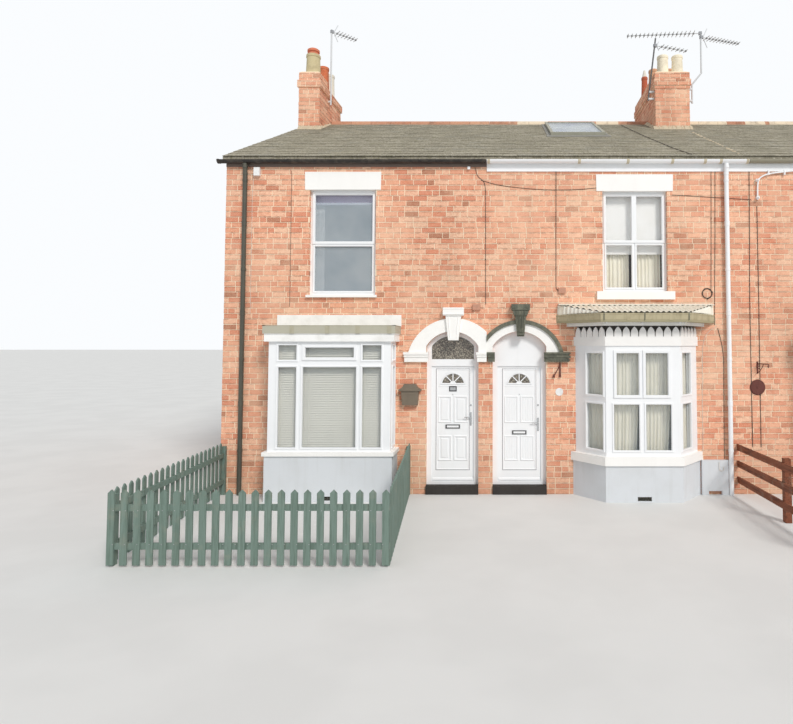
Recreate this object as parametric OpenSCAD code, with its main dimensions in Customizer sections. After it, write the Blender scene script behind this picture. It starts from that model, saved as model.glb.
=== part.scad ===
// A row of three brick terraced houses, two storeys high, seen from the street.
// Left house: box bay and white arched door. Middle house: canted bay and dark arched door.
// Right house: the left house's layout again. X runs along the row, Y goes in from the
// street front and Z is up. Everything is drawn from the left front corner of the row
// and moved at the end, so that the origin lies on the ground under the middle of the box.

/* [Row] */
// Width of one house between party lines
house_w = 4400; // [4200:50:5200]
// Depth of the houses from front face to rear face
house_depth = 7900; // [7200:100:9500]
// Thickness of the front, rear and gable walls
wall_t = 240; // [215:5:330]
// Thickness of the party walls
party_t = 230; // [215:5:300]
// Height of the front wall at its face, up to the roof
eaves_z = 5600; // [5500:10:6400]
// How far the left gable runs to the right for each unit of depth
gable_skew = 0.045; // [0:0.005:0.12]
// Height of the joint between the ground storey and the upper storey brickwork
storey_z = 3150; // [3150:10:3190]
// Height of the ground floor's surface
floor_z = 150; // [100:10:250]
// Thickness of the ground floor
ground_slab = 120; // [80:10:200]
// Height of the upper floor's surface
upper_floor_z = 2920; // [2880:10:3000]
// Thickness of the upper floor with its joists
upper_slab = 190; // [150:10:240]

/* [Roof] */
// Slope of the roof in degrees
pitch = 27; // [24:0.5:33]
// Thickness of the slates with their battens
slate_t = 60; // [40:5:90]
// Bedding joint under the slates and the ridge tiles
bed = 0.3; // [0.2:0.1:1]
// How far the slates reach past the wall at the eaves
eaves_over = 70; // [50:5:90]
// How far the slates reach past the gable
verge_over = 40; // [20:5:100]
// Radius of the ridge tiles
ridge_r = 125; // [100:5:150]
// Thickness of the ridge tiles
ridge_t = 18; // [14:1:25]
// Length of one ridge tile
ridge_len = 450; // [300:10:600]
// Joint between two ridge tiles
ridge_gap = 6; // [3:1:15]

/* [Gutters] */
// Radius of the half-round gutter
gutter_r = 56; // [45:1:70]
// Thickness of the gutter's wall
gutter_t = 4; // [3:0.5:8]
// Diameter of the downpipes
pipe_d = 74; // [55:1:80]
// Thickness of the fascia boards
fascia_t = 25; // [18:1:35]
// Depth of the black fascia on the left house
fascia_h_black = 120; // [80:5:180]
// Depth of the white fascia on the other houses
fascia_h_white = 200; // [120:5:205]

/* [Chimneys] */
// How far the stacks' front faces stand in front of the ridge
stack_fore = 850; // [700:10:1050]
// Length of the left stack along the depth of the house
stack_len_left = 1500; // [1450:50:2200]
// Length of the right stack along the depth of the house
stack_len_right = 1950; // [1750:50:2400]
// Width of the left stack, on the gable
stack_w_left = 460; // [440:10:560]
// Width of the right stack, at the party wall
stack_w_right = 760; // [680:10:900]
// How far the right stack's middle stands left of its party line
stack_right_off = 335; // [200:5:350]
// Height of the stacks' brick top above the ridge
stack_up = 922; // [700:1:1200]
// Height of the corbelled heads, down from the brick top
corbel_down = 355; // [300:5:500]
// How far the corbel bands stand out at most
corbel_out = 28; // [15:1:50]
// Height of the sloped mortar round the pots
flaunch_h = 45; // [30:5:80]
// Radius of a plain chimney pot at its foot
pot_r = 135; // [110:1:150]
// Height of a plain chimney pot
pot_h = 400; // [250:5:500]
// Height of the pots at the front of the stacks
front_pot_h = 455; // [350:5:600]
// Height of the left stack's rear pots
long_pot_h = 610; // [450:5:700]

/* [Box bay] */
// Middle of the box bay from its house's left party line
box_cx = 1915; // [1700:5:2000]
// Half the width of the box bay's window frame
box_half = 973; // [900:1:1000]
// How far the box bay's frame stands out from the wall
box_proj = 470; // [350:5:600]
// Top of the box bay's sill, under the frame
box_sill_z = 775; // [600:5:900]
// Top of the box bay's window frame
box_head_z = 2515; // [2400:5:2550]

/* [Canted bay] */
// Middle of the canted bay from its house's left party line
cant_cx = 2486; // [2450:1:2600]
// Half the width of the canted bay at the wall
cant_half = 1010; // [950:5:1100]
// Half the width of the canted bay's front
cant_front = 590; // [500:5:700]
// How far the canted bay's frame stands out from the wall
cant_proj = 500; // [400:5:600]
// Top of the canted bay's sill, under the frame
cant_sill_z = 705; // [600:5:900]
// Top of the canted bay's window frame
cant_head_z = 2446; // [2350:1:2500]

/* [Bay details] */
// Thickness of the bays' window frames
bay_frame_t = 75; // [60:5:100]
// Thickness of the rendered walls under the bays
bay_base_t = 150; // [100:5:200]
// How far the rendered wall stands out past the frame
base_out = 35; // [20:5:80]
// How far the bay sills stand out past the frame
sill_out = 65; // [55:5:120]
// Thickness of the box bay's sill
box_sill_t = 62; // [40:1:120]
// Thickness of the canted bay's sill
cant_sill_t = 138; // [60:1:160]

/* [Doors] */
// Width of the doorways of the left and right houses
door_w_box = 870; // [800:5:900]
// Left side of those doorways from the house's left party line
door_x_box = 3394; // [3300:1:3400]
// Width of the doorway of the middle house
door_w_cant = 893; // [800:5:900]
// Left side of that doorway from the house's left party line
door_x_cant = 99; // [95:1:130]
// Bottom of the door frames, on the steps
threshold_z = 138; // [100:1:200]
// Top of the door leaves
leaf_top_z = 2110; // [1950:5:2110]
// Width of the door frame's sides and head
frame_w = 68; // [50:1:80]
// Thickness of the door frames
frame_t = 70; // [60:1:80]
// How far the door frames stand back from the wall's face
reveal = 100; // [60:5:110]
// Thickness of the door leaves
leaf_t = 44; // [40:1:50]
// Clearance round the door leaves
leaf_gap = 8; // [7.5:0.5:10]
// Radius of the hinge knuckles
hinge_r = 9; // [7:0.5:12]
// Radius of the hinge pins
pin_r = 4.5; // [3:0.5:6]
// Running clearance of the hinge pins in their knuckles
pin_gap = 0.08; // [0.02:0.02:0.1]
// Gap between the two knuckles of a hinge
knuckle_gap = 0.3; // [0.1:0.1:1]
// Height of one hinge knuckle
knuckle_h = 45; // [30:5:60]

/* [Arches] */
// Height of the springing of the arches, at the top of the imposts
spring_z = 2340; // [2300:5:2380]
// Half the span of the white arches, outside
white_half = 750; // [700:5:780]
// Rise of the white arches, outside
white_rise = 565; // [540:5:590]
// Half the span of the dark arch, outside
dark_half = 711; // [690:1:740]
// Rise of the dark arch, outside
dark_rise = 540; // [520:5:560]
// Width of the dark arch's moulding
dark_w = 66; // [50:1:100]
// How far the arch faces stand out from the wall
arch_out = 50; // [30:5:80]
// How far the keystones stand out from the wall
key_out = 105; // [90:5:150]
// Height of the arched openings' own springing
open_spring_z = 2440; // [2400:5:2460]
// Rise of the arched openings
open_rise = 245; // [200:5:260]

/* [Windows] */
// How far the upper windows stand back from the wall's face
window_back = 75; // [50:5:110]
// Thickness of the window frames
window_t = 70; // [60:5:80]
// Thickness of the glass units
glass_t = 24; // [20:1:28]
// Width of the plain frame members
stile = 62; // [50:1:80]

/* [Fences] */
// Height of the picket fence
picket_h = 850; // [700:10:1000]
// Width of one picket
picket_w = 78; // [60:1:90]
// Thickness of one picket
picket_t = 18; // [14:1:25]
// Distance from picket to picket
picket_pitch = 143; // [120:1:170]
// How far the front gardens reach from the wall
garden = 3250; // [2600:50:4000]

/* [Hidden] */

$fn = 48;
brick = "#b5654a";
white = "#eceef0";
black = "#25272a";
render_grey = "#d9dcdc";
slate = "#5c5d54";
clay = "#b4593a";
stone = "#8d8d84";
glass = "#7d8c90";

house_n = 3;
row_end = house_n * house_w + party_t / 2;
slope = tan(pitch);
slab_v = slate_t / cos(pitch);
ridge_y = house_depth / 2;
ridge_z = eaves_z + slope * ridge_y;
// Houses with a box bay: the first and the third. The second has the canted bay.
box_houses = [0, 2];
cut = 20;

// A house's left party line
function hx(i) = i * house_w;
// The left gable's face at a depth
function gx(y) = gable_skew * y;
// Doorway of a house: left side, width
function door_x(i) = hx(i) + (i == 1 ? door_x_cant : door_x_box);
function door_w(i) = i == 1 ? door_w_cant : door_w_box;
function door_mid(i) = door_x(i) + door_w(i) / 2;

// A flat shape in X and Z, given thickness from y0 to y1
module slab_xz(y0, y1) {
    translate([0, y1, 0]) rotate([90, 0, 0]) linear_extrude(y1 - y0) children();
}

// A flat shape in Y and Z, given length from x0 to x1
module slab_yz(x0, x1) {
    translate([x0, 0, 0]) rotate([90, 0, 90]) linear_extrude(x1 - x0) children();
}

module box(x0, x1, y0, y1, z0, z1) {
    translate([x0, y0, z0]) cube([x1 - x0, y1 - y0, z1 - z0]);
}

module rect(x0, x1, z0, z1) {
    translate([x0, z0]) square([x1 - x0, z1 - z0]);
}

// Everything under the slates: the section of the houses carried along the row
module under_roof(x0, x1) {
    slab_yz(x0, x1) polygon([[0, 0], [house_depth, 0], [house_depth, eaves_z],
        [ridge_y, ridge_z], [0, eaves_z]]);
}

// Part of a circle over a span, from its chord up to its crown
module segment(half, rise) {
    r = (half * half + rise * rise) / (2 * rise);
    intersection() {
        translate([0, rise - r]) circle(r, $fn = 96);
        rect(-half, half, 0, rise);
    }
}

// An arched opening above its own springing, with straight sides below
module arched(half, z0, z1, rise) {
    rect(-half, half, z0, z1);
    translate([0, z1]) segment(half, rise);
}

// Front wall

// Windows of the upper storey in front: middle, width, foot, height, sill and lintel
function win_cx(i) = i == 1 ? hx(1) + 2494 : hx(i) + 1971;
function win_w(i) = i == 1 ? 1092 : 1118;
function win_z(i) = i == 1 ? 3356 : 3295;
function win_h(i) = i == 1 ? 1700 : 1785;
function sill_h(i) = i == 1 ? 136 : 40;
function sill_w(i) = i == 1 ? 1302 : 1180;
function lintel_w(i) = i == 1 ? 1300 : 1290;
function lintel_h(i) = i == 1 ? 258 : 275;
lintel_gap = 28;
lintel_back = 110;
lintel_out = 15;
lintel_taper = 6;

module front_wall_upper() {
    color(brick) difference() {
        intersection() {
            linear_extrude(ridge_z) polygon([[0, 0], [row_end, 0], [row_end, wall_t],
                [gx(wall_t), wall_t]]);
            under_roof(-cut, row_end + cut);
            box(-cut, row_end + cut, -cut, wall_t + cut, storey_z, ridge_z);
        }
        for (i = [0 : house_n - 1]) {
            window_hole(win_cx(i), win_w(i), win_z(i), win_h(i), 0);
            sill_block(i);
            lintel_block(i);
        }
    }
}

// A window's hole right through a wall whose outer face is at y
module window_hole(cx, w, z, h, y) {
    box(cx - w / 2, cx + w / 2, y - cut, y + wall_t + cut, z, z + h);
}

module sill_block(i) {
    box(win_cx(i) - sill_w(i) / 2, win_cx(i) + sill_w(i) / 2, -60, window_back,
        win_z(i) - sill_h(i), win_z(i));
}

// The lintels are a little wider at the top than at the foot
module lintel_block(i) {
    slab_xz(-lintel_out, lintel_back) translate([win_cx(i), win_z(i) + win_h(i)])
        polygon([[-lintel_w(i) / 2 + lintel_taper, 0], [lintel_w(i) / 2 - lintel_taper, 0],
            [lintel_w(i) / 2, lintel_gap + lintel_h(i)],
            [-lintel_w(i) / 2, lintel_gap + lintel_h(i)]]);
}

// The bays' openings through the front wall, from the ground to the frames' heads
module box_bay_hole(i) {
    box(hx(i) + box_cx - box_half + bay_frame_t, hx(i) + box_cx + box_half - bay_frame_t,
        -cut, wall_t + cut, -cut, box_head_z);
}

module cant_bay_hole() {
    box(hx(1) + cant_cx - cant_half + 140, hx(1) + cant_cx + cant_half - 140,
        -cut, wall_t + cut, -cut, cant_head_z);
}

// A piece of the front wall's ground storey
module lower_wall(x0, x1) {
    difference() {
        linear_extrude(storey_z) polygon([[x0, 0], [x1, 0], [x1, wall_t],
            [max(x0, gx(wall_t)), wall_t]]);
        for (i = box_houses) box_bay_hole(i);
        cant_bay_hole();
    }
}

module front_wall_left() {
    color(brick) lower_wall(0, door_x(0));
}

module front_wall_middle() {
    color(brick) lower_wall(door_x(1) + door_w(1), door_x(2));
}

module front_wall_right() {
    color(brick) lower_wall(door_x(2) + door_w(2), row_end);
}

// Height at which the brickwork closes over the doorways' sides
over_z = 2180;

module door_pier() {
    color(brick) box(door_x(0) + door_w(0), door_x(1), 0, wall_t, 0, over_z);
}

module front_wall_over_doors() {
    color(brick) {
        difference() {
            box(door_x(0), door_x(1) + door_w(1), 0, wall_t, over_z, storey_z);
            for (i = [0, 1]) door_arch_hole(i);
        }
        difference() {
            box(door_x(2), door_x(2) + door_w(2), 0, wall_t, over_z, storey_z);
            door_arch_hole(2);
        }
    }
}

module door_arch_hole(i) {
    slab_xz(-cut, wall_t + cut) translate([door_mid(i), 0])
        arched(door_w(i) / 2, over_z - cut, open_spring_z, open_rise);
}

// Other walls

// Stack positions: the left one stands on the gable and follows it
stack_y0 = ridge_y - stack_fore;
stack_left_y1 = stack_y0 + stack_len_left;
stack_right_y1 = stack_y0 + stack_len_right;
stack_right_x = 2 * house_w - stack_right_off;
stack_z = round(ridge_z + stack_up);
corbel_z = stack_z - corbel_down;
gather_z = eaves_z - 200;
gather_top_z = eaves_z + 400;
gather_out = 20;
stack_left_end = gx(stack_left_y1) + stack_w_left;

module gable_wall() {
    gw = wall_t * sqrt(1 + gable_skew * gable_skew);
    y1 = house_depth - wall_t;
    color(brick) difference() {
        intersection() {
            linear_extrude(ridge_z) polygon([[gx(wall_t), wall_t], [gx(wall_t) + gw, wall_t],
                [gx(y1) + gw, y1], [gx(y1), y1]]);
            under_roof(-cut, row_end);
        }
        box(-cut, stack_left_end, stack_y0, stack_left_y1, gather_z, ridge_z + cut);
    }
}

module party_walls() {
    color(brick) for (i = [1 : house_n]) difference() {
        intersection() {
            box(hx(i) - party_t / 2, hx(i) + party_t / 2, wall_t, house_depth - wall_t,
                0, ridge_z);
            under_roof(0, row_end);
        }
        right_stack_mass();
    }
}

// Rear windows and doors: one lower window, one door and two upper windows a house
rear_low_z = 1000;
rear_low_h = 1250;
rear_up_z = 3650;
rear_up_h = 1350;
rear_w = 1100;
rear_door_w = 850;
rear_door_h = 2050;
rear_win_x = 1350;
rear_door_x = 3100;
rear_up_x = [1350, 3350];

function rear_holes() = [for (i = [0 : house_n - 1])
    each [[hx(i) + rear_win_x, rear_low_z, rear_low_h],
        for (x = rear_up_x) [hx(i) + x, rear_up_z, rear_up_h]]];

module rear_door_hole(i) {
    box(hx(i) + rear_door_x, hx(i) + rear_door_x + rear_door_w, house_depth - wall_t - cut,
        house_depth + cut, threshold_z, threshold_z + rear_door_h);
}

module rear_wall() {
    y0 = house_depth - wall_t;
    color(brick) difference() {
        intersection() {
            linear_extrude(ridge_z) polygon([[gx(y0), y0], [row_end, y0],
                [row_end, house_depth], [gx(house_depth), house_depth]]);
            under_roof(-cut, row_end + cut);
        }
        for (h = rear_holes()) window_hole(h[0], rear_w, h[1], h[2], y0);
        for (h = rear_holes()) {
            rear_sill(h);
            rear_lintel(h);
        }
        for (i = [0 : house_n - 1]) {
            rear_door_hole(i);
            rear_door_lintel(i);
        }
    }
}

rear_sill_h = 70;
rear_lintel_h = 200;
rear_side = 90;

module rear_sill(h) {
    box(h[0] - rear_w / 2 - rear_side, h[0] + rear_w / 2 + rear_side,
        house_depth - window_back, house_depth + 50, h[1] - rear_sill_h, h[1]);
}

module rear_lintel(h) {
    box(h[0] - rear_w / 2 - rear_side, h[0] + rear_w / 2 + rear_side,
        house_depth - lintel_back, house_depth + lintel_out, h[1] + h[2],
        h[1] + h[2] + rear_lintel_h);
}

module rear_door_lintel(i) {
    x0 = hx(i) + rear_door_x;
    z0 = threshold_z + rear_door_h;
    box(x0 - rear_side, x0 + rear_door_w + rear_side, house_depth - lintel_back,
        house_depth + lintel_out, z0, z0 + rear_lintel_h);
}

// Floors

// A house's clear width indoors: left and right inner faces at the depth y
function in_x0(i, y) = i == 0 ? gx(y) + wall_t * sqrt(1 + gable_skew * gable_skew) + bed
    : hx(i) + party_t / 2;
function in_x1(i) = hx(i + 1) - party_t / 2;

module room_slab(i, z0, z1) {
    ya = wall_t;
    yb = house_depth - wall_t;
    translate([0, 0, z0]) linear_extrude(z1 - z0) polygon([[in_x0(i, ya), ya],
        [in_x1(i), ya], [in_x1(i), yb], [in_x0(i, yb), yb]]);
}

// The ground floor runs out into the bays
module ground_floor() {
    color("#9a7d5c") for (i = [0 : house_n - 1]) {
        room_slab(i, floor_z - ground_slab, floor_z);
        bay_floor(i);
    }
}

module bay_floor(i) {
    translate([0, 0, floor_z - ground_slab]) linear_extrude(ground_slab) {
        if (i == 1) {
            translate([hx(1) + cant_cx, 0]) polygon(bay_plan(1, base_out - bay_base_t, 1));
            rect(hx(1) + cant_cx - cant_half + 140, hx(1) + cant_cx + cant_half - 140,
                0, wall_t);
        } else {
            rect(hx(i) + box_cx - box_half - base_out + bay_base_t,
                hx(i) + box_cx + box_half + base_out - bay_base_t,
                -box_proj - base_out + bay_base_t, wall_t);
        }
    }
}

module upper_floor() {
    color("#9a7d5c") for (i = [0 : house_n - 1])
        room_slab(i, upper_floor_z - upper_slab, upper_floor_z);
}

// Roof

// The slates of one slope: a slab along the row, cut to the gable's line
module slope_slab(front) {
    intersection() {
        translate([0, 0, bed]) slab_yz(-2 * verge_over, row_end + cut) {
            if (front) {
                polygon([[-eaves_over, eaves_z - slope * eaves_over], [ridge_y, ridge_z],
                    [ridge_y, ridge_z + slab_v],
                    [-eaves_over, eaves_z - slope * eaves_over + slab_v]]);
            } else {
                y1 = house_depth + eaves_over;
                polygon([[y1, eaves_z - slope * eaves_over], [ridge_y, ridge_z],
                    [ridge_y, ridge_z + slab_v],
                    [y1, eaves_z - slope * eaves_over + slab_v]]);
            }
        }
        linear_extrude(2 * ridge_z) polygon([[gx(-eaves_over) - verge_over, -eaves_over],
            [row_end, -eaves_over], [row_end, house_depth + eaves_over],
            [gx(house_depth + eaves_over) - verge_over, house_depth + eaves_over]]);
    }
}

// The skylight on the middle house: sides and ends in plan
sky_x0 = hx(1) + 1260;
sky_x1 = hx(1) + 2390;
sky_y0 = ridge_y - 1870;
sky_y1 = ridge_y - 250;
sky_up = 90;

module roof_front() {
    color(slate) difference() {
        slope_slab(true);
        left_stack_mass();
        right_stack_mass();
        box(sky_x0, sky_x1, sky_y0, sky_y1, eaves_z, ridge_z + ridge_r);
    }
}

module roof_rear() {
    color(slate) difference() {
        slope_slab(false);
        left_stack_mass();
        right_stack_mass();
    }
}

// The skylight's frame follows the slope and stands above the slates
module sky_prism(inset, z0, z1) {
    ya = sky_y0 + inset;
    yb = sky_y1 - inset;
    slab_yz(sky_x0 + inset, sky_x1 - inset) polygon([[ya, eaves_z + slope * ya + z0],
        [yb, eaves_z + slope * yb + z0], [yb, eaves_z + slope * yb + z1],
        [ya, eaves_z + slope * ya + z1]]);
}

module skylight() {
    color("#5b5f62") difference() {
        sky_prism(0, 0, slab_v + sky_up);
        sky_prism(60, -cut, slab_v + sky_up + cut);
    }
}

// Ridge tiles lie over the top edge of the slates, between the stacks
module ridge_tile(x0, x1) {
    z = ridge_z + slab_v + 2 * bed - slope * ridge_r;
    slab_yz(x0, x1) translate([ridge_y, z]) difference() {
        circle(ridge_r);
        circle(ridge_r - ridge_t);
        polygon([[-2 * ridge_r, slope * ridge_r - 2 * slope * ridge_r], [0, slope * ridge_r],
            [2 * ridge_r, slope * ridge_r - 2 * slope * ridge_r], [2 * ridge_r, -2 * ridge_r],
            [-2 * ridge_r, -2 * ridge_r]]);
    }
}

module ridge_run(x0, x1) {
    n = round((x1 - x0) / ridge_len);
    p = (x1 - x0 - 2) / n;
    for (k = [0 : n - 1]) ridge_tile(x0 + 1 + k * p, x0 + 1 + (k + 1) * p - ridge_gap);
}

module ridge_tiles() {
    color(clay) {
        ridge_run(gx(stack_left_y1) + stack_w_left, stack_right_x - stack_w_right / 2);
        ridge_run(stack_right_x + stack_w_right / 2, row_end);
    }
}

// Chimneys

// A stack's plan: x0 at the front, back at y1, leaning by skew, grown all round by out
module stack_plan(x0, y1, w, skew, out) {
    ya = stack_y0 - out;
    yb = y1 + out;
    polygon([[x0 + skew * (ya - stack_y0) - out, ya], [x0 + skew * (ya - stack_y0) + w + out, ya],
        [x0 + skew * (yb - stack_y0) + w + out, yb], [x0 + skew * (yb - stack_y0) - out, yb]]);
}

module left_stack_shaft(z0, z1, out, y1 = stack_left_y1) {
    translate([0, 0, z0]) linear_extrude(z1 - z0)
        stack_plan(gx(stack_y0), y1, stack_w_left, gable_skew, out);
}

module right_stack_shaft(z0, z1, out) {
    translate([0, 0, z0]) linear_extrude(z1 - z0)
        stack_plan(stack_right_x - stack_w_right / 2, stack_right_y1, stack_w_right, 0, out);
}

// The left stack's rear part stops lower than its front part
left_front_y1 = stack_y0 + 520;
left_low_z = stack_z - 175;

// Where a stack stands on its wall, the brickwork gathers out to the stack's width
module left_stack_mass() {
    left_stack_shaft(gather_top_z, left_low_z, 0);
    left_stack_shaft(left_low_z - 1, stack_z, 0, left_front_y1);
    intersection() {
        left_stack_shaft(gather_z, gather_top_z, 0);
        slab_xz(stack_y0, stack_left_y1) polygon([[-cut, gather_z],
            [gx(stack_left_y1) + wall_t + gather_out, gather_z],
            [gx(stack_left_y1) + stack_w_left, gather_top_z], [-cut, gather_top_z]]);
    }
}

module right_stack_mass() {
    wl = 2 * house_w - party_t / 2;
    wr = 2 * house_w + party_t / 2;
    right_stack_shaft(gather_top_z, stack_z, 0);
    slab_xz(stack_y0, stack_right_y1) polygon([[wl, gather_z], [wr, gather_z],
        [stack_right_x + stack_w_right / 2, gather_top_z],
        [stack_right_x - stack_w_right / 2, gather_top_z]]);
}

// The heads: the left one has a band, the right one steps out and in again
band_foot = 25;
head_steps = [[0, 62, corbel_out / 2], [62, 203, corbel_out], [203, corbel_down, 6]];

module chimney_left() {
    color(brick) {
        left_stack_mass();
        left_stack_shaft(corbel_z + band_foot, left_low_z, corbel_out);
        for (k = [1 : 3]) {
            left_stack_shaft(stack_z - 1, stack_z + k * flaunch_h / 3, 15 - 20 * k,
                left_front_y1);
            left_stack_shaft(left_low_z - 1, left_low_z + k * flaunch_h / 3, 15 - 20 * k);
        }
    }
}

module chimney_right() {
    color(brick) {
        right_stack_mass();
        for (h = head_steps) right_stack_shaft(corbel_z + h[0], corbel_z + h[1], h[2]);
        for (k = [1 : 3]) right_stack_shaft(stack_z - 1, stack_z + k * flaunch_h / 3,
            20 - 20 * k);
    }
}

// A clay pot: a tapered round pipe with a foot and a rolled rim
pot_t = 20;
pot_taper = 18;

module pot(h, r, rim) {
    rn = r - pot_taper;
    rotate_extrude() polygon([[rn - pot_t, 0], [r, 0], [r, 40], [r - 6, 55], [rn, h - 75],
        [rn + rim, h - 60], [rn + rim, h - 15], [rn + rim - 8, h], [rn - pot_t, h]]);
}

// A vented cap that stands on a pot's rim
module pot_cap(r, h) {
    rotate_extrude() polygon([[r - 60, 0], [r + 5, 0], [r + 5, 15], [r - 20, 22],
        [r - 20, 0.4 * h], [r, 0.45 * h], [r, 0.75 * h], [r - 30, 0.9 * h], [30, h],
        [30, h - 18], [r - 60, 0.6 * h]]);
}

// A pointed cowl
module cowl(r, h) {
    rotate_extrude() polygon([[r - 25, 0], [r, 0], [r - 8, 0.3 * h], [22, h], [10, h],
        [r - 25, 0.25 * h]]);
}

// The front pots' middles behind the stacks' front faces, and the other pots' places
front_pot_off = 235;
front_pot_r = 165;
left_rear_pots = [800, 1210];
left_rear_off = 45;
pot_pair = 165;
pot_pair_off = 25;
right_rear_pots = [[-200, 850], [170, 850], [170, 1500]];
slim_pot_r = 88;
slim_pot_y = 1500;
slim_pot_x = 130;
slim_pot_h = 520;

module pots_left() {
    x = gx(stack_y0 + front_pot_off) + stack_w_left / 2;
    translate([x, stack_y0 + front_pot_off, stack_z + flaunch_h]) {
        pot(front_pot_h, front_pot_r, 12);
        translate([0, 0, front_pot_h]) pot_cap(pot_r, 155);
    }
    for (y = left_rear_pots)
        translate([gx(stack_y0 + y) + stack_w_left / 2 + left_rear_off, stack_y0 + y,
            left_low_z + flaunch_h]) pot(long_pot_h, pot_r - 5, 10);
}

module pots_right() {
    z = stack_z + flaunch_h;
    for (sx = [-1, 1]) translate([stack_right_x + pot_pair_off + sx * pot_pair,
        stack_y0 + front_pot_off + 20, z]) pot(front_pot_h - 15, pot_r, 10);
    for (p = right_rear_pots) translate([stack_right_x + p[0], stack_y0 + p[1], z])
        pot(pot_h, pot_r - 15, 10);
    translate([stack_right_x - stack_w_right / 2 + slim_pot_x, stack_y0 + slim_pot_y, z]) {
        pot(slim_pot_h, slim_pot_r, 8);
        translate([0, 0, slim_pot_h]) cowl(slim_pot_r - 30, 175);
    }
}

module chimney_pots() {
    color("#c9a27a") {
        pots_left();
        pots_right();
    }
}

// Aerials: masts strapped to the stacks, with booms and rods

mast_r = 15;
boom_r = 10;
rod_r = 6;
strap_w = 44;

module tube(a, b, r, sides = 32) {
    d = b - a;
    l = norm(d);
    translate(a) rotate([0, acos(d[2] / l), atan2(d[1], d[0])])
        cylinder(r = r, h = l, $fn = sides);
}

// A boom that starts at a mast, with cross rods shorter towards its tip. A reflector has
// an upper and a lower arm that lean towards the tip.
module yagi(mast, tip, n, rod, arm) {
    d = tip - mast;
    along = d / norm(d);
    a = mast + along * (mast_r + bed);
    side = [-d[1], d[0], 0] / norm([d[0], d[1]]);
    up = [0, 0, 1];
    tube(a, tip, boom_r, 8);
    for (k = [0 : n - 1]) {
        p = a + along * (norm(tip - a) * (k + 1.6) / (n + 0.8));
        l = rod * (1 - 0.35 * k / n);
        tube(p - side * l / 2, p + side * l / 2, rod_r, 6);
    }
    if (arm > 0) for (m = [-1, 1]) {
        q = a + along * 40;
        tube(q - up * 4 * m, q + (up * m + along * 0.5) * 0.9 * arm, rod_r + 4, 6);
    }
}

module strap(x0, x1, y, z) {
    box(x0, x1, y - strap_w / 2, y + strap_w / 2, z - 20, z + 20);
}

module aerial_left() {
    y = stack_y0 + 600;
    face = gx(y + strap_w / 2) + stack_w_left;
    x = face + 52;
    tube([x, y, stack_z - 500], [x, y, stack_z + 1300], mast_r, 16);
    strap(face + corbel_out, x, y, stack_z - 250);
    strap(face, x, y, stack_z - 420);
    yagi([x, y, stack_z + 1258], [x + 480, y + 400, stack_z + 1258], 7, 300, 220);
}

// The white mast beside the right stack has a slanting length in its middle
module aerial_right() {
    y = stack_y0 + 250;
    face = stack_right_x + stack_w_right / 2;
    x = face + 140;
    xt = x + 218;
    tube([x, y, stack_z - 598], [x, y, stack_z - 155], mast_r, 16);
    tube([x - 4, y, stack_z - 169], [xt + 4, y, stack_z + 112], mast_r, 16);
    tube([xt, y, stack_z + 98], [xt, y, stack_z + 1062], mast_r, 16);
    strap(face + corbel_out, x, y, stack_z - 270);
    strap(face, x, y, stack_z - 542);
    yagi([xt, y, stack_z + 1031], [xt - 1655, y + 120, stack_z + 1031], 17, 270, 0);
    yagi([xt, y, stack_z + 940], [xt + 980, y + 300, stack_z + 940], 11, 240, 250);
}

// The dark mast leans against the left side of the right stack
module aerial_dark() {
    y = stack_y0 + 100;
    face = stack_right_x - stack_w_right / 2;
    lean = 0.127;
    function mast_x(z) = face - 61 + lean * z;
    tube([mast_x(-600), y, stack_z - 600], [mast_x(835), y, stack_z + 835], mast_r, 16);
    yagi([mast_x(670), y, stack_z + 670], [mast_x(670) + 796, y + 263, stack_z + 670], 7, 220,
        110);
    for (z = [-560, -400]) strap(mast_x(z), face, y, stack_z + z);
}

module aerials() {
    color("#b9bcbe") {
        aerial_left();
        aerial_right();
        aerial_dark();
    }
}

// Fascias, gutters and downpipes

module fascia(x0, x1, h) {
    top = eaves_z - slope * fascia_t;
    box(x0, x1, -fascia_t, 0, top - h, top);
}

module fascia_black() {
    color(black) fascia(0, hx(1), fascia_h_black);
}

module fascia_white() {
    top = eaves_z - slope * fascia_t;
    color(white) {
        fascia(hx(1), row_end, fascia_h_white);
        box(gx(house_depth), row_end, house_depth, house_depth + fascia_t,
            top - fascia_h_white, top);
    }
}

gutter_y = -fascia_t - gutter_r;
gutter_z = eaves_z - slope * eaves_over - 1;

// A length of half-round gutter with closed ends, y is its middle
module gutter(x0, x1, y) {
    slab_yz(x0, x1) translate([y, gutter_z]) difference() {
        gutter_half(gutter_r);
        gutter_half(gutter_r - gutter_t);
    }
    for (x = [x0, x1 - gutter_t]) slab_yz(x, x + gutter_t)
        translate([y, gutter_z]) gutter_half(gutter_r);
}

module gutter_half(r) {
    intersection() {
        circle(r);
        rect(-r, r, -r, 0);
    }
}

rear_gutter_y = house_depth + fascia_t + gutter_r;

gutter_past = 120;

module gutter_black() {
    color(black) {
        gutter(-gutter_past, hx(1) - 10, gutter_y);
        gutter(hx(2) + 10, row_end, gutter_y);
        gutter(gx(house_depth) - gutter_past / 2, row_end, rear_gutter_y);
    }
}

module gutter_white() {
    color(white) gutter(hx(1), hx(2), gutter_y);
}

// A downpipe: out of the gutter, back to the wall in a slanting length between two
// sockets, and down the wall with clips
pipe_y = pipe_d / 2 + fascia_t + 4;
pipe_drop = 60;
pipe_slant = 110;
clip_h = 40;

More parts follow.
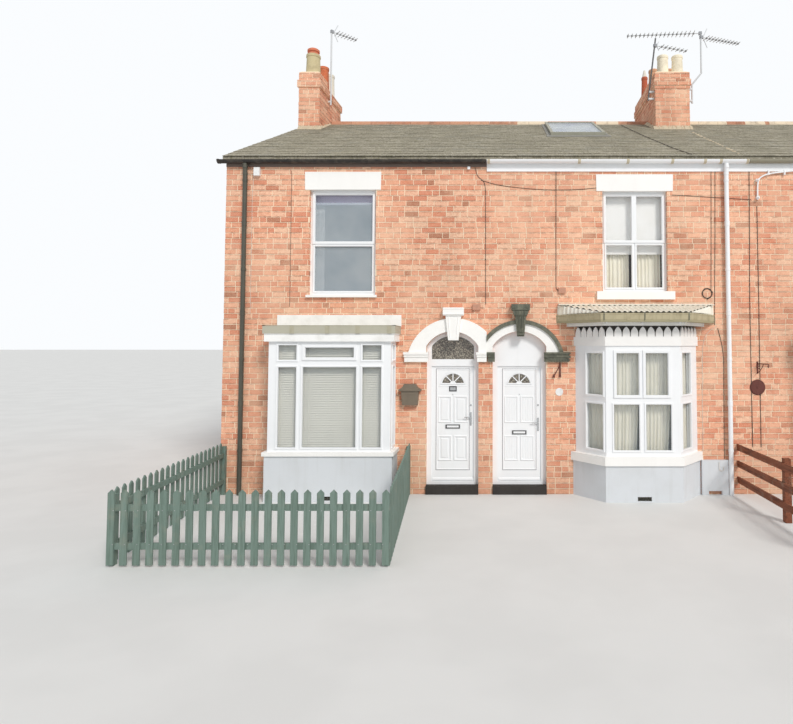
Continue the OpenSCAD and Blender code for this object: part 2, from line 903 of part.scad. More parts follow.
module downpipe(x) {
    r = pipe_d / 2;
    z1 = gutter_z - gutter_r + 1;
    z2 = z1 - pipe_drop;
    z3 = z2 - pipe_slant;
    tube([x, gutter_y, z2 - 8], [x, gutter_y, z1 - 1], r);
    tube([x, gutter_y, z2 + 8], [x, -pipe_y, z3 - 8], r - 0.5);
    tube([x, -pipe_y, 0], [x, -pipe_y, z3 + 8], r);
    tube([x, gutter_y, z2 - 20], [x, gutter_y, z2 + 22], r + 4);
    tube([x, -pipe_y, z3 - 22], [x, -pipe_y, z3 + 20], r + 4);
    for (z = [700 : 1500 : 5200]) {
        tube([x, -pipe_y, z], [x, -pipe_y, z + clip_h], r + 5);
        box(x - 20, x + 20, -pipe_y, 0, z, z + clip_h);
    }
}

module downpipe_black() {
    color(black) {
        downpipe(340);
        translate([0, house_depth, 0]) mirror([0, 1, 0])
            for (x = [hx(1) + 300, row_end - 400]) downpipe(x);
    }
}

white_pipe_x = hx(2) - 375;
module downpipe_white() {
    color(white) downpipe(white_pipe_x);
}

// Windows

// A flat frame with a row of lights: xs and zs list the bars' edges in pairs
module light_grid(xs, zs) {
    for (a = [0 : 2 : len(xs) - 2], b = [0 : 2 : len(zs) - 2])
        rect(xs[a], xs[a + 1], zs[b], zs[b + 1]);
}

// Lights of an upper window from its own corner: two tall ones, or four
function win_xs(i) = i == 1
    ? [stile, win_w(1) / 2 - stile / 2, win_w(1) / 2 + stile / 2, win_w(1) - stile]
    : [stile, win_w(i) - stile];
function win_zs(i) = [stile, 0.49 * win_h(i) - stile / 2, 0.49 * win_h(i) + stile / 2,
    win_h(i) - stile];

module window_frame(x, z, w, h, y0, xs, zs) {
    slab_xz(y0, y0 + window_t) translate([x, z]) difference() {
        square([w, h]);
        light_grid(xs, zs);
    }
}

module window_panes(x, z, y0, xs, zs) {
    slab_xz(y0 + window_t / 2 - glass_t / 2, y0 + window_t / 2 + glass_t / 2)
        translate([x, z]) light_grid(xs, zs);
}

rear_xs = [stile, rear_w / 2 - stile / 2, rear_w / 2 + stile / 2, rear_w - stile];
function rear_zs(h) = [stile, 0.5 * h - stile / 2, 0.5 * h + stile / 2, h - stile];
rear_frame_y = house_depth - window_back - window_t;

module window_frames() {
    color(white) {
        for (i = [0 : house_n - 1])
            window_frame(win_cx(i) - win_w(i) / 2, win_z(i), win_w(i), win_h(i), window_back,
                win_xs(i), win_zs(i));
        for (h = rear_holes())
            window_frame(h[0] - rear_w / 2, h[1], rear_w, h[2], rear_frame_y, rear_xs,
                rear_zs(h[2]));
    }
}

module window_glass() {
    color(glass) {
        for (i = [0 : house_n - 1])
            window_panes(win_cx(i) - win_w(i) / 2, win_z(i), window_back, win_xs(i), win_zs(i));
        for (h = rear_holes())
            window_panes(h[0] - rear_w / 2, h[1], rear_frame_y, rear_xs, rear_zs(h[2]));
        sky_prism(60, slab_v + sky_up - 40, slab_v + sky_up - 12);
    }
}

module window_sills() {
    color(white) {
        for (i = [0 : house_n - 1]) sill_block(i);
        for (h = rear_holes()) rear_sill(h);
    }
}

module lintels() {
    color(white) {
        for (i = [0 : house_n - 1]) lintel_block(i);
        for (h = rear_holes()) rear_lintel(h);
        for (i = [0 : house_n - 1]) rear_door_lintel(i);
    }
}

module rear_doors() {
    y = house_depth - reveal - frame_t;
    color(white) for (i = [0 : house_n - 1]) slab_xz(y, y + frame_t)
        rect(hx(i) + rear_door_x, hx(i) + rear_door_x + rear_door_w, threshold_z,
            threshold_z + rear_door_h);
}

// Bays

// A bay's plan in front of the wall, grown by out; back carries it on behind the face
function cant_angle() = atan2(cant_proj, cant_half - cant_front);
function cant_w(out) = cant_half + out / sin(cant_angle());
function cant_f(out) = cant_front + out * tan(cant_angle() / 2);
function bay_plan(kind, out, back) = kind == 1
    ? [[-cant_w(out), back], [-cant_w(out), 0], [-cant_f(out), -cant_proj - out],
        [cant_f(out), -cant_proj - out], [cant_w(out), 0], [cant_w(out), back]]
    : [[-box_half - out, back], [-box_half - out, -box_proj - out],
        [box_half + out, -box_proj - out], [box_half + out, back]];

function bay_x(i) = hx(i) + (i == 1 ? cant_cx : box_cx);
function bay_kind(i) = i == 1 ? 1 : 0;
function bay_sill_z(i) = i == 1 ? cant_sill_z : box_sill_z;
function bay_head_z(i) = i == 1 ? cant_head_z : box_head_z;
function bay_sill_t(i) = i == 1 ? cant_sill_t : box_sill_t;

// A ring in plan between two offsets of the bay's outline
module bay_ring(i, out, inn, z0, z1) {
    translate([bay_x(i), 0, z0]) linear_extrude(z1 - z0) intersection() {
        difference() {
            polygon(bay_plan(bay_kind(i), out, 1));
            polygon(bay_plan(bay_kind(i), inn, 2));
        }
        translate([-house_w / 2, -house_w]) square([house_w, house_w]);
    }
}

// The whole plan of a bay as a plate
module bay_plate(i, out, z0, z1) {
    translate([bay_x(i), 0, z0]) linear_extrude(z1 - z0)
        polygon(bay_plan(bay_kind(i), out, 0));
}

// The low rendered block between the canted bay and the downpipe
plinth_out = 60;
plinth_gap = 5;
vent_w = 220;
vent_h = 65;
vent_z = 20;

module bay_bases() {
    x0 = bay_x(1) + cant_w(base_out) + plinth_gap;
    x1 = white_pipe_x - pipe_d / 2 - 6;
    color(render_grey) {
        for (i = [0 : house_n - 1]) difference() {
            bay_ring(i, base_out, base_out - bay_base_t, 0, bay_sill_z(i) - bay_sill_t(i));
            translate([bay_x(i) - vent_w / 2, -house_w / 2, vent_z])
                cube([vent_w, house_w / 2 - bay_base_t, vent_h]);
        }
        difference() {
            box(x0, x1, -plinth_out, 0, 0, cant_sill_z - cant_sill_t);
            box((x0 + x1 - vent_w) / 2, (x0 + x1 + vent_w) / 2, -plinth_out - cut, cut, -cut,
                vent_h);
        }
    }
}

module bay_sills() {
    color(white) for (i = [0 : house_n - 1])
        bay_ring(i, sill_out, -bay_frame_t, bay_sill_z(i) - bay_sill_t(i), bay_sill_z(i));
}

// The holes for the lights, as blocks through the frame's faces
box_edge = box_half - 141;
box_lights = [-box_edge, -518, -441, 432, 507, box_edge];
box_h = box_head_z - box_sill_z;
box_low_zs = [55, box_h - 397];
box_top_zs = [box_h - 304, box_h - 48];
top_sash = 38;
cant_h = cant_head_z - cant_sill_z;
cant_lights_low = [-cant_front + 114, -53, 31, cant_front - 138];
cant_lights_high = [-cant_front + 159, -56, 32, cant_front - 185];
cant_low_zs = [84, cant_h - 916];
cant_high_zs = [cant_h - 790, cant_h - 106];
cant_side_l = norm([cant_proj, cant_half - cant_front]);
cant_side = [240, cant_side_l - 50];
box_side = [-box_proj + 120, -120];

module pair_blocks(xs, zs, z) {
    for (a = [0 : 2 : len(xs) - 2], b = [0 : 2 : len(zs) - 2])
        translate([xs[a], -house_w / 4, z + zs[b]])
            cube([xs[a + 1] - xs[a], house_w / 4 - 250, zs[b + 1] - zs[b]]);
}

module box_bay_lights(i) {
    translate([bay_x(i), 0, 0]) {
        pair_blocks(box_lights, box_low_zs, box_sill_z);
        pair_blocks([box_lights[0], box_lights[1], box_lights[4], box_lights[5]], box_top_zs,
            box_sill_z);
        pair_blocks([box_lights[2] + top_sash, box_lights[3] - top_sash],
            [box_top_zs[0] + top_sash, box_top_zs[1] - top_sash], box_sill_z);
        for (zs = [box_low_zs, box_top_zs])
            box(-house_w / 3, house_w / 3, box_side[0], box_side[1], box_sill_z + zs[0],
                box_sill_z + zs[1]);
    }
}

// A cant's lights stand across the slanting face, measured along it from the wall
module cant_face_lights() {
    for (zs = [cant_low_zs, cant_high_zs])
        translate([-cant_half, 0, cant_sill_z + zs[0]]) rotate([0, 0, -cant_angle()])
            translate([cant_side[0], -200, 0])
                cube([cant_side[1] - cant_side[0], 400, zs[1] - zs[0]]);
}

module cant_bay_lights() {
    translate([bay_x(1), 0, 0]) {
        pair_blocks(cant_lights_low, cant_low_zs, cant_sill_z);
        pair_blocks(cant_lights_high, cant_high_zs, cant_sill_z);
        cant_face_lights();
        mirror([1, 0, 0]) cant_face_lights();
    }
}

module bay_lights(i) {
    if (i == 1) cant_bay_lights();
    else box_bay_lights(i);
}

module bay_windows() {
    color(white) for (i = [0 : house_n - 1]) difference() {
        bay_ring(i, 0, -bay_frame_t, bay_sill_z(i), bay_head_z(i));
        bay_lights(i);
    }
}

module bay_glass() {
    mid = -bay_frame_t / 2;
    color(glass) for (i = [0 : house_n - 1]) intersection() {
        bay_ring(i, mid + glass_t / 2, mid - glass_t / 2, bay_sill_z(i), bay_head_z(i));
        bay_lights(i);
    }
}

// The box bays have a flat felt roof behind a fascia, and a band on the wall above
box_fascia_h = 125;
felt_h = 125;
felt_out = 78;
box_fascia_out = 58;
band_z = 2800;
band_h = 160;
band_half = 1035;
band_off = 25;
band_t = 30;

module box_bay_roofs() {
    color("#7f857c") for (i = box_houses) {
        bay_plate(i, box_fascia_out, box_head_z, box_head_z + box_fascia_h);
        bay_plate(i, felt_out, box_head_z + box_fascia_h, box_head_z + box_fascia_h + felt_h);
        x = hx(i) + box_cx + band_off;
        box(x - band_half, x + band_half, -band_t, 0, box_head_z + box_fascia_h + felt_h - 1,
            band_z + band_h);
    }
}

// The canted bay's hood: a small hipped roof, its gutter and the board under it
hood_out = 170;
hood_eave_z = 2870;
hood_top_z = 3110;
hood_wall_half = 1290;
board_z = 2763;
frieze_z = cant_head_z;
frieze_h = 306;
frieze_t = 22;
hood_gutter_w = 70;

module canted_bay_roof() {
    color("#a9aaa0") {
        hull() {
            bay_plate(1, hood_out, hood_eave_z, hood_eave_z + 12);
            box(bay_x(1) - hood_wall_half, bay_x(1) + hood_wall_half, -45, 0, hood_eave_z,
                hood_top_z);
        }
        bay_ring(1, -frieze_seat - bed, -bay_frame_t, frieze_z, frieze_z + frieze_h);
        bay_plate(1, -frieze_seat - bed, frieze_z + frieze_h, board_z);
        bay_plate(1, hood_out - 60, board_z, hood_eave_z);
        difference() {
            bay_ring(1, hood_out + hood_gutter_w, hood_out - 61, 2820, 2885);
            bay_ring(1, hood_out + hood_gutter_w - 6, hood_out + 8, 2826, 2886);
            bay_plate(1, hood_out, hood_eave_z, hood_eave_z + 12);
        }
    }
}

// The frieze board stands in front, with a row of pointed teeth along its top
frieze_seat = 30;
tooth_set = 1;
tooth_h = 157;
tooth_leg = 45;
tooth_gap = 14;
front_teeth = 9;
side_teeth = 5;

// A lancet: straight legs under a pointed arch
module tooth(w, h) {
    hp = h - tooth_leg;
    r = (w * w / 4 + hp * hp) / w;
    rect(-w / 2, w / 2, -1, tooth_leg + 1);
    translate([0, tooth_leg]) intersection() {
        translate([w / 2 - r, 0]) circle(r);
        translate([r - w / 2, 0]) circle(r);
        rect(-w / 2, w / 2, 0, hp);
    }
}

module tooth_row(l, n, z) {
    slab_xz(-frieze_t + tooth_set, -tooth_set) for (k = [0 : n - 1])
        translate([(k + 0.5) * l / n, z]) tooth(l / n - tooth_gap, tooth_h);
}

module canted_bay_frieze() {
    z = frieze_z + frieze_h - tooth_h;
    color(white) {
        bay_ring(1, frieze_t, -frieze_seat, frieze_z, z);
        translate([bay_x(1) - cant_front, -cant_proj, 0])
            tooth_row(2 * cant_front, front_teeth, z);
        for (m = [0, 1]) translate([bay_x(1), 0, 0]) mirror([m, 0, 0])
            translate([-cant_half, 0, 0]) rotate([0, 0, -cant_angle()])
                translate([frieze_t, 0, 0]) tooth_row(cant_side_l - frieze_t, side_teeth, z);
    }
}

// Doors

step_y0 = -40;

module door_steps() {
    color(stone) for (i = [0 : house_n - 1])
        box(door_x(i), door_x(i) + door_w(i), step_y0, wall_t, 0, threshold_z);
}

// A door frame stands in its doorway on the step; above the transom is the fanlight
transom_z = 2178;

module door_frame_face(i) {
    w = door_w(i) / 2;
    difference() {
        union() {
            rect(-w, w, threshold_z, over_z);
            arched(w, over_z - 1, open_spring_z, open_rise);
        }
        rect(-w + frame_w + stop_in, w - frame_w - stop_in, threshold_z + sill_bar + stop_in,
            leaf_top_z + leaf_gap - stop_in);
        if (i != 1) arched(w - frame_w - 12, transom_z + 42, open_spring_z, open_rise - 70);
    }
}

// Behind its stop the frame is rebated for the leaf, and the hinges' fixed halves sit
// on its inner face
module door_frames() {
    color(white) for (i = [0 : house_n - 1]) {
        difference() {
            slab_xz(reveal, reveal + frame_t) translate([door_mid(i), 0]) door_frame_face(i);
            box(leaf_x0(i) - leaf_gap, leaf_x1(i) + leaf_gap, leaf_y0 - stop_gap,
                reveal + frame_t + cut, threshold_z + sill_bar, leaf_top_z + leaf_gap);
        }
        for (z = hinge_zs) fixed_hinge(i, z);
    }
}

module fixed_hinge(i, z) {
    x = hinge_x(i);
    tube([x, hinge_y, z], [x, hinge_y, z + knuckle_h], hinge_r);
    tube([x, hinge_y, z], [x, hinge_y, z + 2 * knuckle_h], pin_r);
    box(x - hinge_plate, x - 4, reveal + frame_t, hinge_y - hinge_r + 4, z, z + knuckle_h);
}

module leaf_hinge(i, z) {
    x = hinge_x(i);
    z1 = z + knuckle_h + knuckle_gap;
    difference() {
        union() {
            tube([x, hinge_y, z1], [x, hinge_y, z1 + knuckle_h], hinge_r);
            box(leaf_x0(i), leaf_x0(i) + hinge_plate, leaf_y1, hinge_y - hinge_r + 4, z1,
                z1 + knuckle_h);
        }
        tube([x, hinge_y, z], [x, hinge_y, z1 + 2 * knuckle_h], pin_r + pin_gap);
    }
}

module fanlights() {
    y = reveal + frame_t / 2 - glass_t / 2;
    color(glass) for (i = box_houses) slab_xz(y, y + glass_t) translate([door_mid(i), 0])
        arched(door_w(i) / 2 - frame_w - 12, transom_z + 42, open_spring_z, open_rise - 70);
}

// A leaf hangs on its left side, flush with the inner side of its frame
stop_in = 14;
stop_gap = 5;
sill_bar = 35;
leaf_y0 = reveal + frame_t - leaf_t;
leaf_y1 = leaf_y0 + leaf_t;
leaf_z0 = threshold_z + sill_bar + leaf_gap;
hinge_y = reveal + frame_t + hinge_r + 1;
hinge_plate = 34;
hinge_zs = [leaf_z0 + 200, leaf_z0 + 900, leaf_top_z - 300];
function hinge_x(i) = leaf_x0(i) - leaf_gap / 2;
sun_z = 1819;
sun_r = 183;
sun_h = 148;
function leaf_x0(i) = door_x(i) + frame_w + leaf_gap;
function leaf_x1(i) = door_x(i) + door_w(i) - frame_w - leaf_gap;

// The sunburst: four segments between bars that fan out from the foot
module sunburst(grow) {
    difference() {
        intersection() {
            translate([0, -30]) circle(sun_r + grow);
            rect(-sun_r - grow, sun_r + grow, -grow, sun_r);
        }
        translate([0, -30]) circle(60 - grow);
        if (grow == 0) for (a = [45, 90, 135]) rotate(a) rect(0, 2 * sun_r, -8, 8);
    }
}

// The moulded face of a leaf: an inset edge, fields with grooves round them, and the
// arch over the sunburst. Sizes run from the leaf's middle and in height.
groove_w = 10;
groove_d = 4;
face_half = 273;
face_z0 = 380;
face_z1 = 2050;
field_in = 22;
field_out = 245;
low_field = [530, 940];
high_field = [1160, 1600];
plank_w = 48;

module outline(x0, x1, z0, z1, w) {
    difference() {
        rect(x0, x1, z0, z1);
        rect(x0 + w, x1 - w, z0 + w, z1 - w);
    }
}

module leaf_grooves(i) {
    outline(-face_half, face_half, face_z0, face_z1, groove_w);
    for (f = [low_field, high_field], m = [0, 1]) mirror([m, 0]) {
        outline(field_in, field_out, f[0], f[1], groove_w);
        if (i == 1) for (x = [field_in + plank_w : plank_w : field_out - plank_w])
            rect(x, x + groove_w / 2, f[0] + 40, f[1] - 40);
        else outline(field_in + 32, field_out - 32, f[0] + 32, f[1] - 32, groove_w / 2);
    }
    translate([0, sun_z]) difference() {
        sunburst(34);
        sunburst(24);
    }
}

module leaf(i) {
    x0 = leaf_x0(i);
    x1 = leaf_x1(i);
    xm = (x0 + x1) / 2;
    color(white) difference() {
        box(x0, x1, leaf_y0, leaf_y1, leaf_z0, leaf_top_z);
        slab_xz(leaf_y0 - cut, leaf_y1 + cut) translate([xm, sun_z]) sunburst(0);
        slab_xz(leaf_y0 - cut, leaf_y0 + groove_d) translate([xm, 0]) leaf_grooves(i);
        slab_xz(leaf_y1 - groove_d, leaf_y1 + cut) translate([xm, 0]) leaf_grooves(i);
    }
    color(white) for (z = hinge_zs) leaf_hinge(i, z);
}

module leaf_glass(i) {
    x = (leaf_x0(i) + leaf_x1(i)) / 2;
    y = leaf_y0 + leaf_t / 2;
    color(glass) slab_xz(y - 8, y + 8) translate([x, sun_z]) sunburst(0);
}

// Letter plate, peephole, bare plate and lever handles on both faces
lever_l = 110;
lever_r = 9;
letter_w = 250;
letter_h = 70;
plate_w = 130;

module leaf_fittings(i) {
    x = (leaf_x0(i) + leaf_x1(i)) / 2;
    z = i == 1 ? 995 : 1093;
    lock_x = leaf_x1(i) - 55;
    lock_z = (i == 1 ? 1130 : 1220) + 30;
    color("#a8abad") {
        box(x - letter_w / 2, x + letter_w / 2, leaf_y0 - 9, leaf_y0, z - letter_h / 2,
            z + letter_h / 2);
        if (i != 1) box(x - plate_w / 2, x + plate_w / 2, leaf_y0 - 5, leaf_y0, 1680, 1765);
        tube([x, leaf_y0 - 6, 1630], [x, leaf_y0, 1630], 8);
        tube([lock_x, leaf_y0 - 8, 1450], [lock_x, leaf_y0, 1450], 16);
        lever(lock_x, leaf_y0, -1, lock_z, 45);
        lever(lock_x, leaf_y1, 1, lock_z, 38);
    }
}

// A lever on its long plate; out is how far it stands off the face
module lever(x, face, side, z, out) {
    y = face + side * out;
    box(x - 14, x + 14, min(face, face + side * 8), max(face, face + side * 8), z - 140, z + 80);
    tube([x, face + side * 7, z], [x, y, z], lever_r);
    tube([x + lever_r, y, z], [x - lever_l, y, z], lever_r);
}

module door_1() { leaf(0); }
module door_2() { leaf(1); }
module door_3() { leaf(2); }
module door_glass_1() { leaf_glass(0); }
module door_glass_2() { leaf_glass(1); }
module door_glass_3() { leaf_glass(2); }
module door_fittings_1() { leaf_fittings(0); }
module door_fittings_2() { leaf_fittings(1); }
module door_fittings_3() { leaf_fittings(2); }

// Arches

key_cap_half = 173;
key_foot_half = 85;
key_head_half = 130;
key_foot_z = 2537;
key_head_z = 2951;
key_cap_h = 129;
arch_shift = 20;
impost_h = 160;
impost_over = 80;
impost_in = 38;

function arch_x(i) = door_mid(i) + arch_shift;

module key_shape(foot, head, z0, z1) {
    polygon([[-foot, z0], [foot, z0], [head, z1], [-head, z1]]);
}

// A white arch: the face round the opening, cut off at the party line
module white_arch(i) {
    slab_xz(-arch_out, 0) difference() {
        translate([arch_x(i), spring_z]) segment(white_half, white_rise);
        translate([door_mid(i), 0])
            arched(door_w(i) / 2, spring_z - cut, open_spring_z, open_rise);
        rect(min(hx(i + 1), row_end), row_end + house_w, 0, ridge_z);
    }
    slab_xz(-key_out, 0) translate([arch_x(i), 0])
        key_shape(key_foot_half, key_head_half, key_foot_z, key_head_z);
    slab_xz(-key_out - 25, 0) translate([arch_x(i), 0])
        rect(-key_cap_half, key_cap_half, key_head_z - 1, key_head_z + key_cap_h);
    impost(arch_x(i) - white_half - impost_over, door_x(i) + impost_in);
    impost(door_x(i) + door_w(i) - impost_in, min(hx(i + 1), row_end));
}

// The white face inside the dark moulding of the middle house
module inner_arch() {
    difference() {
        slab_xz(-arch_out + 10, 0) difference() {
            translate([arch_x(1), spring_z]) segment(dark_half - dark_w, dark_rise - dark_w);
            translate([door_mid(1), 0])
                arched(door_w(1) / 2, spring_z - cut, open_spring_z, open_rise);
            rect(0, hx(1), 0, ridge_z);
        }
        dark_key();
    }
}

module arch_surrounds() {
    color(white) {
        for (i = box_houses) white_arch(i);
        inner_arch();
    }
}

// An impost steps out towards its top
module impost(x0, x1) {
    z0 = spring_z - impost_h;
    box(x0 + 16, x1, -60, 0, z0, z0 + impost_h / 2);
    box(x0 + 8, x1, -75, 0, z0 + impost_h / 2, spring_z - impost_h / 4);
    box(x0, x1, -90, 0, spring_z - impost_h / 4, spring_z);
}

dark_key_foot = 58;
dark_key_head = 92;
dark_key_z = [2602, 2945, 3040, 3137];

module dark_key() {
    translate([arch_x(1), 0, 0]) {
        slab_xz(-key_out, 0) key_shape(dark_key_foot, dark_key_head, dark_key_z[0],
            dark_key_z[1] + 1);
        slab_xz(-key_out - 14, 0) key_shape(dark_key_head + 14, dark_key_head + 46,
            dark_key_z[1], dark_key_z[2] + 1);
        slab_xz(-key_out - 30, 0) rect(-dark_key_head - 62, dark_key_head + 62, dark_key_z[2],
            dark_key_z[3]);
        for (x = [-30, 0, 30]) slab_xz(-key_out - 6, -key_out + 1)
            rect(x - 7, x + 7, dark_key_z[0] + 50, dark_key_z[1] - 40);
    }
}

// The dark impost's far end, past the arch
dark_impost_over = 103;

module dark_arch_moulding() {
    x1 = arch_x(1) + dark_half + dark_impost_over;
    color("#4c4f4b") {
        slab_xz(-arch_out - 20, 0) difference() {
            translate([arch_x(1), spring_z]) segment(dark_half, dark_rise);
            translate([arch_x(1), spring_z]) segment(dark_half - dark_w, dark_rise - dark_w);
            rect(0, hx(1), 0, ridge_z);
        }
        dark_key();
        impost(hx(1), door_x(1) + impost_in);
        translate([door_x(1) + door_w(1) - impost_in + x1, 0, 0])
            mirror([1, 0, 0]) impost(door_x(1) + door_w(1) - impost_in, x1);
    }
}

// Small things on the front

box_off = -259;

// A letter box in the shape of a small house, with a roof that curves out at its eaves
module post_box() {
    color("#4b443b") translate([door_x(0) + box_off, 0, 0]) {
        slab_xz(-100, 0) polygon([[-128, 1471], [128, 1471], [146, 1715], [-146, 1715]]);
        slab_xz(-122, 0) difference() {
            rect(-182, 182, 1700, 1816);
            for (m = [0, 1]) mirror([m, 0]) translate([235, 1868]) circle(150);
        }
        slab_xz(-106, -98) rect(-80, 80, 1640, 1664);
    }
}

// Small closed boxes on the wall: left side, right side, foot, top, depth. The round
// plate has its middle, radius and thickness.
small_boxes = [[475, 575, 5310, 5450, 60], [hx(1) - 235, hx(1) - 105, 3045, 3140, 45],
    [hx(1) + 1200, hx(1) + 1320, 3325, 3415, 45]];
round_plate = [hx(1) + 1209, 1681, 64, 10];

module wall_plates() {
    color(white) {
        for (b = small_boxes) box(b[0], b[1], -b[4], 0, b[2], b[3]);
        slab_xz(-round_plate[3], 0) translate([round_plate[0], round_plate[1]])
            circle(round_plate[2]);
    }
}

// Fences

// One picket with a pointed top, its left side at x
module picket(x, h) {
    slab_xz(-picket_t, 0) translate([x, 0]) polygon([[0, 20], [picket_w, 20],
        [picket_w, h - picket_w / 2], [picket_w / 2, h], [0, h - picket_w / 2]]);
}

rail_h = 70;
rail_t = 30;

// A run of fence from the origin along +X, with rails behind it that reach past its ends
module fence_run(l, past) {
    n = floor((l - picket_w) / picket_pitch);
    for (k = [0 : n]) picket((l - picket_w) / n * k, picket_h);
    for (z = [0.22, 0.72]) box(-past, l + past, 0, rail_t, picket_h * z, picket_h * z + rail_h);
}

module fence_post(x, y) {
    box(x, x + post_w, y, y + post_w, 0, picket_h - post_w);
}

// Corners of the left garden: at the wall and at the street
fence_xa = 255;
fence_xb = door_x(0) - 4;
fence_wall_a = 40;
fence_wall_b = door_x(0) - 314;
post_w = 60;
run_gap = 15;

module picket_fence_front() {
    color("#7f9079") translate([fence_xa, -garden, 0]) fence_run(fence_xb - fence_xa, 0);
}

// A side run goes from the post at the street corner back to a post on the wall
module side_run(x_street, x_wall) {
    a = [x_street, -garden + rail_t + post_w + run_gap];
    b = [x_wall, -post_w - run_gap];
    d = b - a;
    translate([a[0], a[1], 0]) rotate([0, 0, atan2(d[1], d[0])])
        fence_run(norm(d), 2 * run_gap);
}

module picket_fence_left() {
    color("#7f9079") {
        mirror([1, 0, 0]) side_run(-fence_xa - run_gap, -fence_wall_a - run_gap);
        fence_post(fence_xa, -garden + rail_t);
        fence_post(fence_wall_a, -post_w);
    }
}

module picket_fence_right() {
    color("#7f9079") {
        side_run(fence_xb - run_gap, fence_wall_b + post_w - run_gap);
        fence_post(fence_xb - post_w, -garden + rail_t);
        fence_post(fence_wall_b, -post_w);
    }
}

module rail_fence() {
    x = hx(2) - 230;
    color("#7b4a2a") {
        for (y = [-garden / 2, -garden]) box(x, x + 90, y, y + 90, 0, 880);
        for (z = [190, 450, 720]) box(x - 25, x, -garden, 0, z, z + 100);
    }
}

// The whole row, moved so that the origin is under the middle of the box
box_x0 = -gutter_past;
box_x1 = row_end;
box_y0 = -garden - picket_t;
box_y1 = rear_gutter_y + gutter_r;

module placed() {
    translate([-(box_x0 + box_x1) / 2, -(box_y0 + box_y1) / 2, 0]) children();
}

placed() front_wall_left();
placed() front_wall_middle();
placed() front_wall_right();
placed() door_pier();
placed() front_wall_over_doors();
placed() front_wall_upper();
placed() gable_wall();
placed() party_walls();
placed() rear_wall();
placed() ground_floor();
placed() upper_floor();
placed() roof_front();
placed() roof_rear();
placed() ridge_tiles();
placed() skylight();
placed() chimney_left();
placed() chimney_right();
placed() chimney_pots();
placed() aerials();
placed() fascia_black();
placed() fascia_white();
placed() gutter_black();
placed() gutter_white();
placed() downpipe_black();
placed() downpipe_white();
placed() window_frames();
placed() window_glass();
placed() window_sills();
placed() lintels();
placed() bay_bases();
placed() bay_sills();
placed() bay_windows();
placed() bay_glass();
placed() box_bay_roofs();
placed() canted_bay_roof();
placed() canted_bay_frieze();
placed() door_steps();
placed() door_frames();
placed() fanlights();
placed() arch_surrounds();
placed() dark_arch_moulding();
placed() post_box();
placed() wall_plates();
placed() picket_fence_front();
placed() picket_fence_left();
placed() picket_fence_right();
placed() rail_fence();
placed() rear_doors();
placed() door_1();
placed() door_glass_1();
placed() door_fittings_1();
placed() door_2();
placed() door_glass_2();
placed() door_fittings_2();
placed() door_3();
placed() door_glass_3();
placed() door_fittings_3();
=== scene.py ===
import math
import random

import bmesh
import bpy
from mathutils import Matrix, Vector


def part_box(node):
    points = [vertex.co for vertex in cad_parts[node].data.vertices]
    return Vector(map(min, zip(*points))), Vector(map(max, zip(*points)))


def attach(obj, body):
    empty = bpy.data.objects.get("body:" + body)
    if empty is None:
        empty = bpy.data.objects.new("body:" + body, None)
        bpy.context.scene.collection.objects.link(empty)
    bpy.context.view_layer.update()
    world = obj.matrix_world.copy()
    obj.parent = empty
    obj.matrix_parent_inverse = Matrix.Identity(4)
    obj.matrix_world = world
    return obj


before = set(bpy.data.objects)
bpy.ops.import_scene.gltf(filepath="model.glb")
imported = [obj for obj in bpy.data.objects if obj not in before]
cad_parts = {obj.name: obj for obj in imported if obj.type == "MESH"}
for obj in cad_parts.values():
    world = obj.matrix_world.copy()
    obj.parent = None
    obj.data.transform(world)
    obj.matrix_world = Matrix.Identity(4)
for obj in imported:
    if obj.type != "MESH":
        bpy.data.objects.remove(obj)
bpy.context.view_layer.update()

# Street coordinates in metres: x from the row's left front corner, y into the houses,
# z up. at() turns them into the shared frame.
OX, OY = 6.5975, 2.3845
ROW = "house_row"

# Brickwork's course, brick and joint; the slates' gauge, lap, width and thickness
COURSE, PITCH, JOINT = 0.0905, 0.235, 0.012
GAUGE, LAP, SLATE_W, SLATE_T = 0.2, 0.07, 0.255, 0.006

# Sizes taken over from the CAD source, in metres
HOUSE, DEPTH, ROW_END, EAVES = 4.4, 7.9, 13.315, 5.6
ROOF_PITCH, SKEW = math.radians(27), 0.045
COSP, SINP, SLOPE = math.cos(ROOF_PITCH), math.sin(ROOF_PITCH), math.tan(ROOF_PITCH)
# The slates' bed over the wall plate's line, and how far the roof runs out at the eaves
SLOPE_TOP, EAVES_OUT = 0.06 / COSP + 0.0003, 0.07
RIDGE_Y = DEPTH / 2
BOX_HALF, BOX_PROJ = 0.973, 0.47
CANT_HALF, CANT_FRONT, CANT_PROJ = 1.01, 0.59, 0.5
BAY_CX = (1.915, 6.886, 10.715)
BOX_CX = (BAY_CX[0], BAY_CX[2])
DOORS = [(3.394, 0.87), (4.499, 0.893), (12.194, 0.87)]
# Upper windows: middle, width, foot, height, sill height and width, lintel width and height
WINS = [(1.971, 1.118, 3.295, 1.785, 0.040, 1.18, 1.29, 0.275),
        (6.894, 1.092, 3.356, 1.700, 0.136, 1.302, 1.30, 0.258),
        (10.771, 1.118, 3.295, 1.785, 0.040, 1.18, 1.29, 0.275)]
REAR_WINS = [(i * HOUSE + x, z, h) for i in range(3)
             for x, z, h in ((1.35, 1.0, 1.25), (1.35, 3.65, 1.35), (3.35, 3.65, 1.35))]
REAR_DOORS = [i * HOUSE + 3.1 for i in range(3)]
REAR_HALF, REAR_SILL, REAR_DOOR_W = 0.55, 0.64, 0.85
STILE, BACK, FRAME = 0.062, 0.075, 0.070
STACK_Y = 3.1
LEFT_X, LEFT_W, LEFT_END, LEFT_FORE = SKEW * STACK_Y, 0.46, 4.6, 3.62
RIGHT_X, RIGHT_W, RIGHT_END = 8.085, 0.76, 5.05
SKYLIGHT = (5.66, 6.79, 2.08, 3.70)
GUTTER_Y, GUTTER_Z, GUTTER_R = -0.081, 5.563, 0.056
PIPE_Y, PIPE_R = -0.066, 0.037


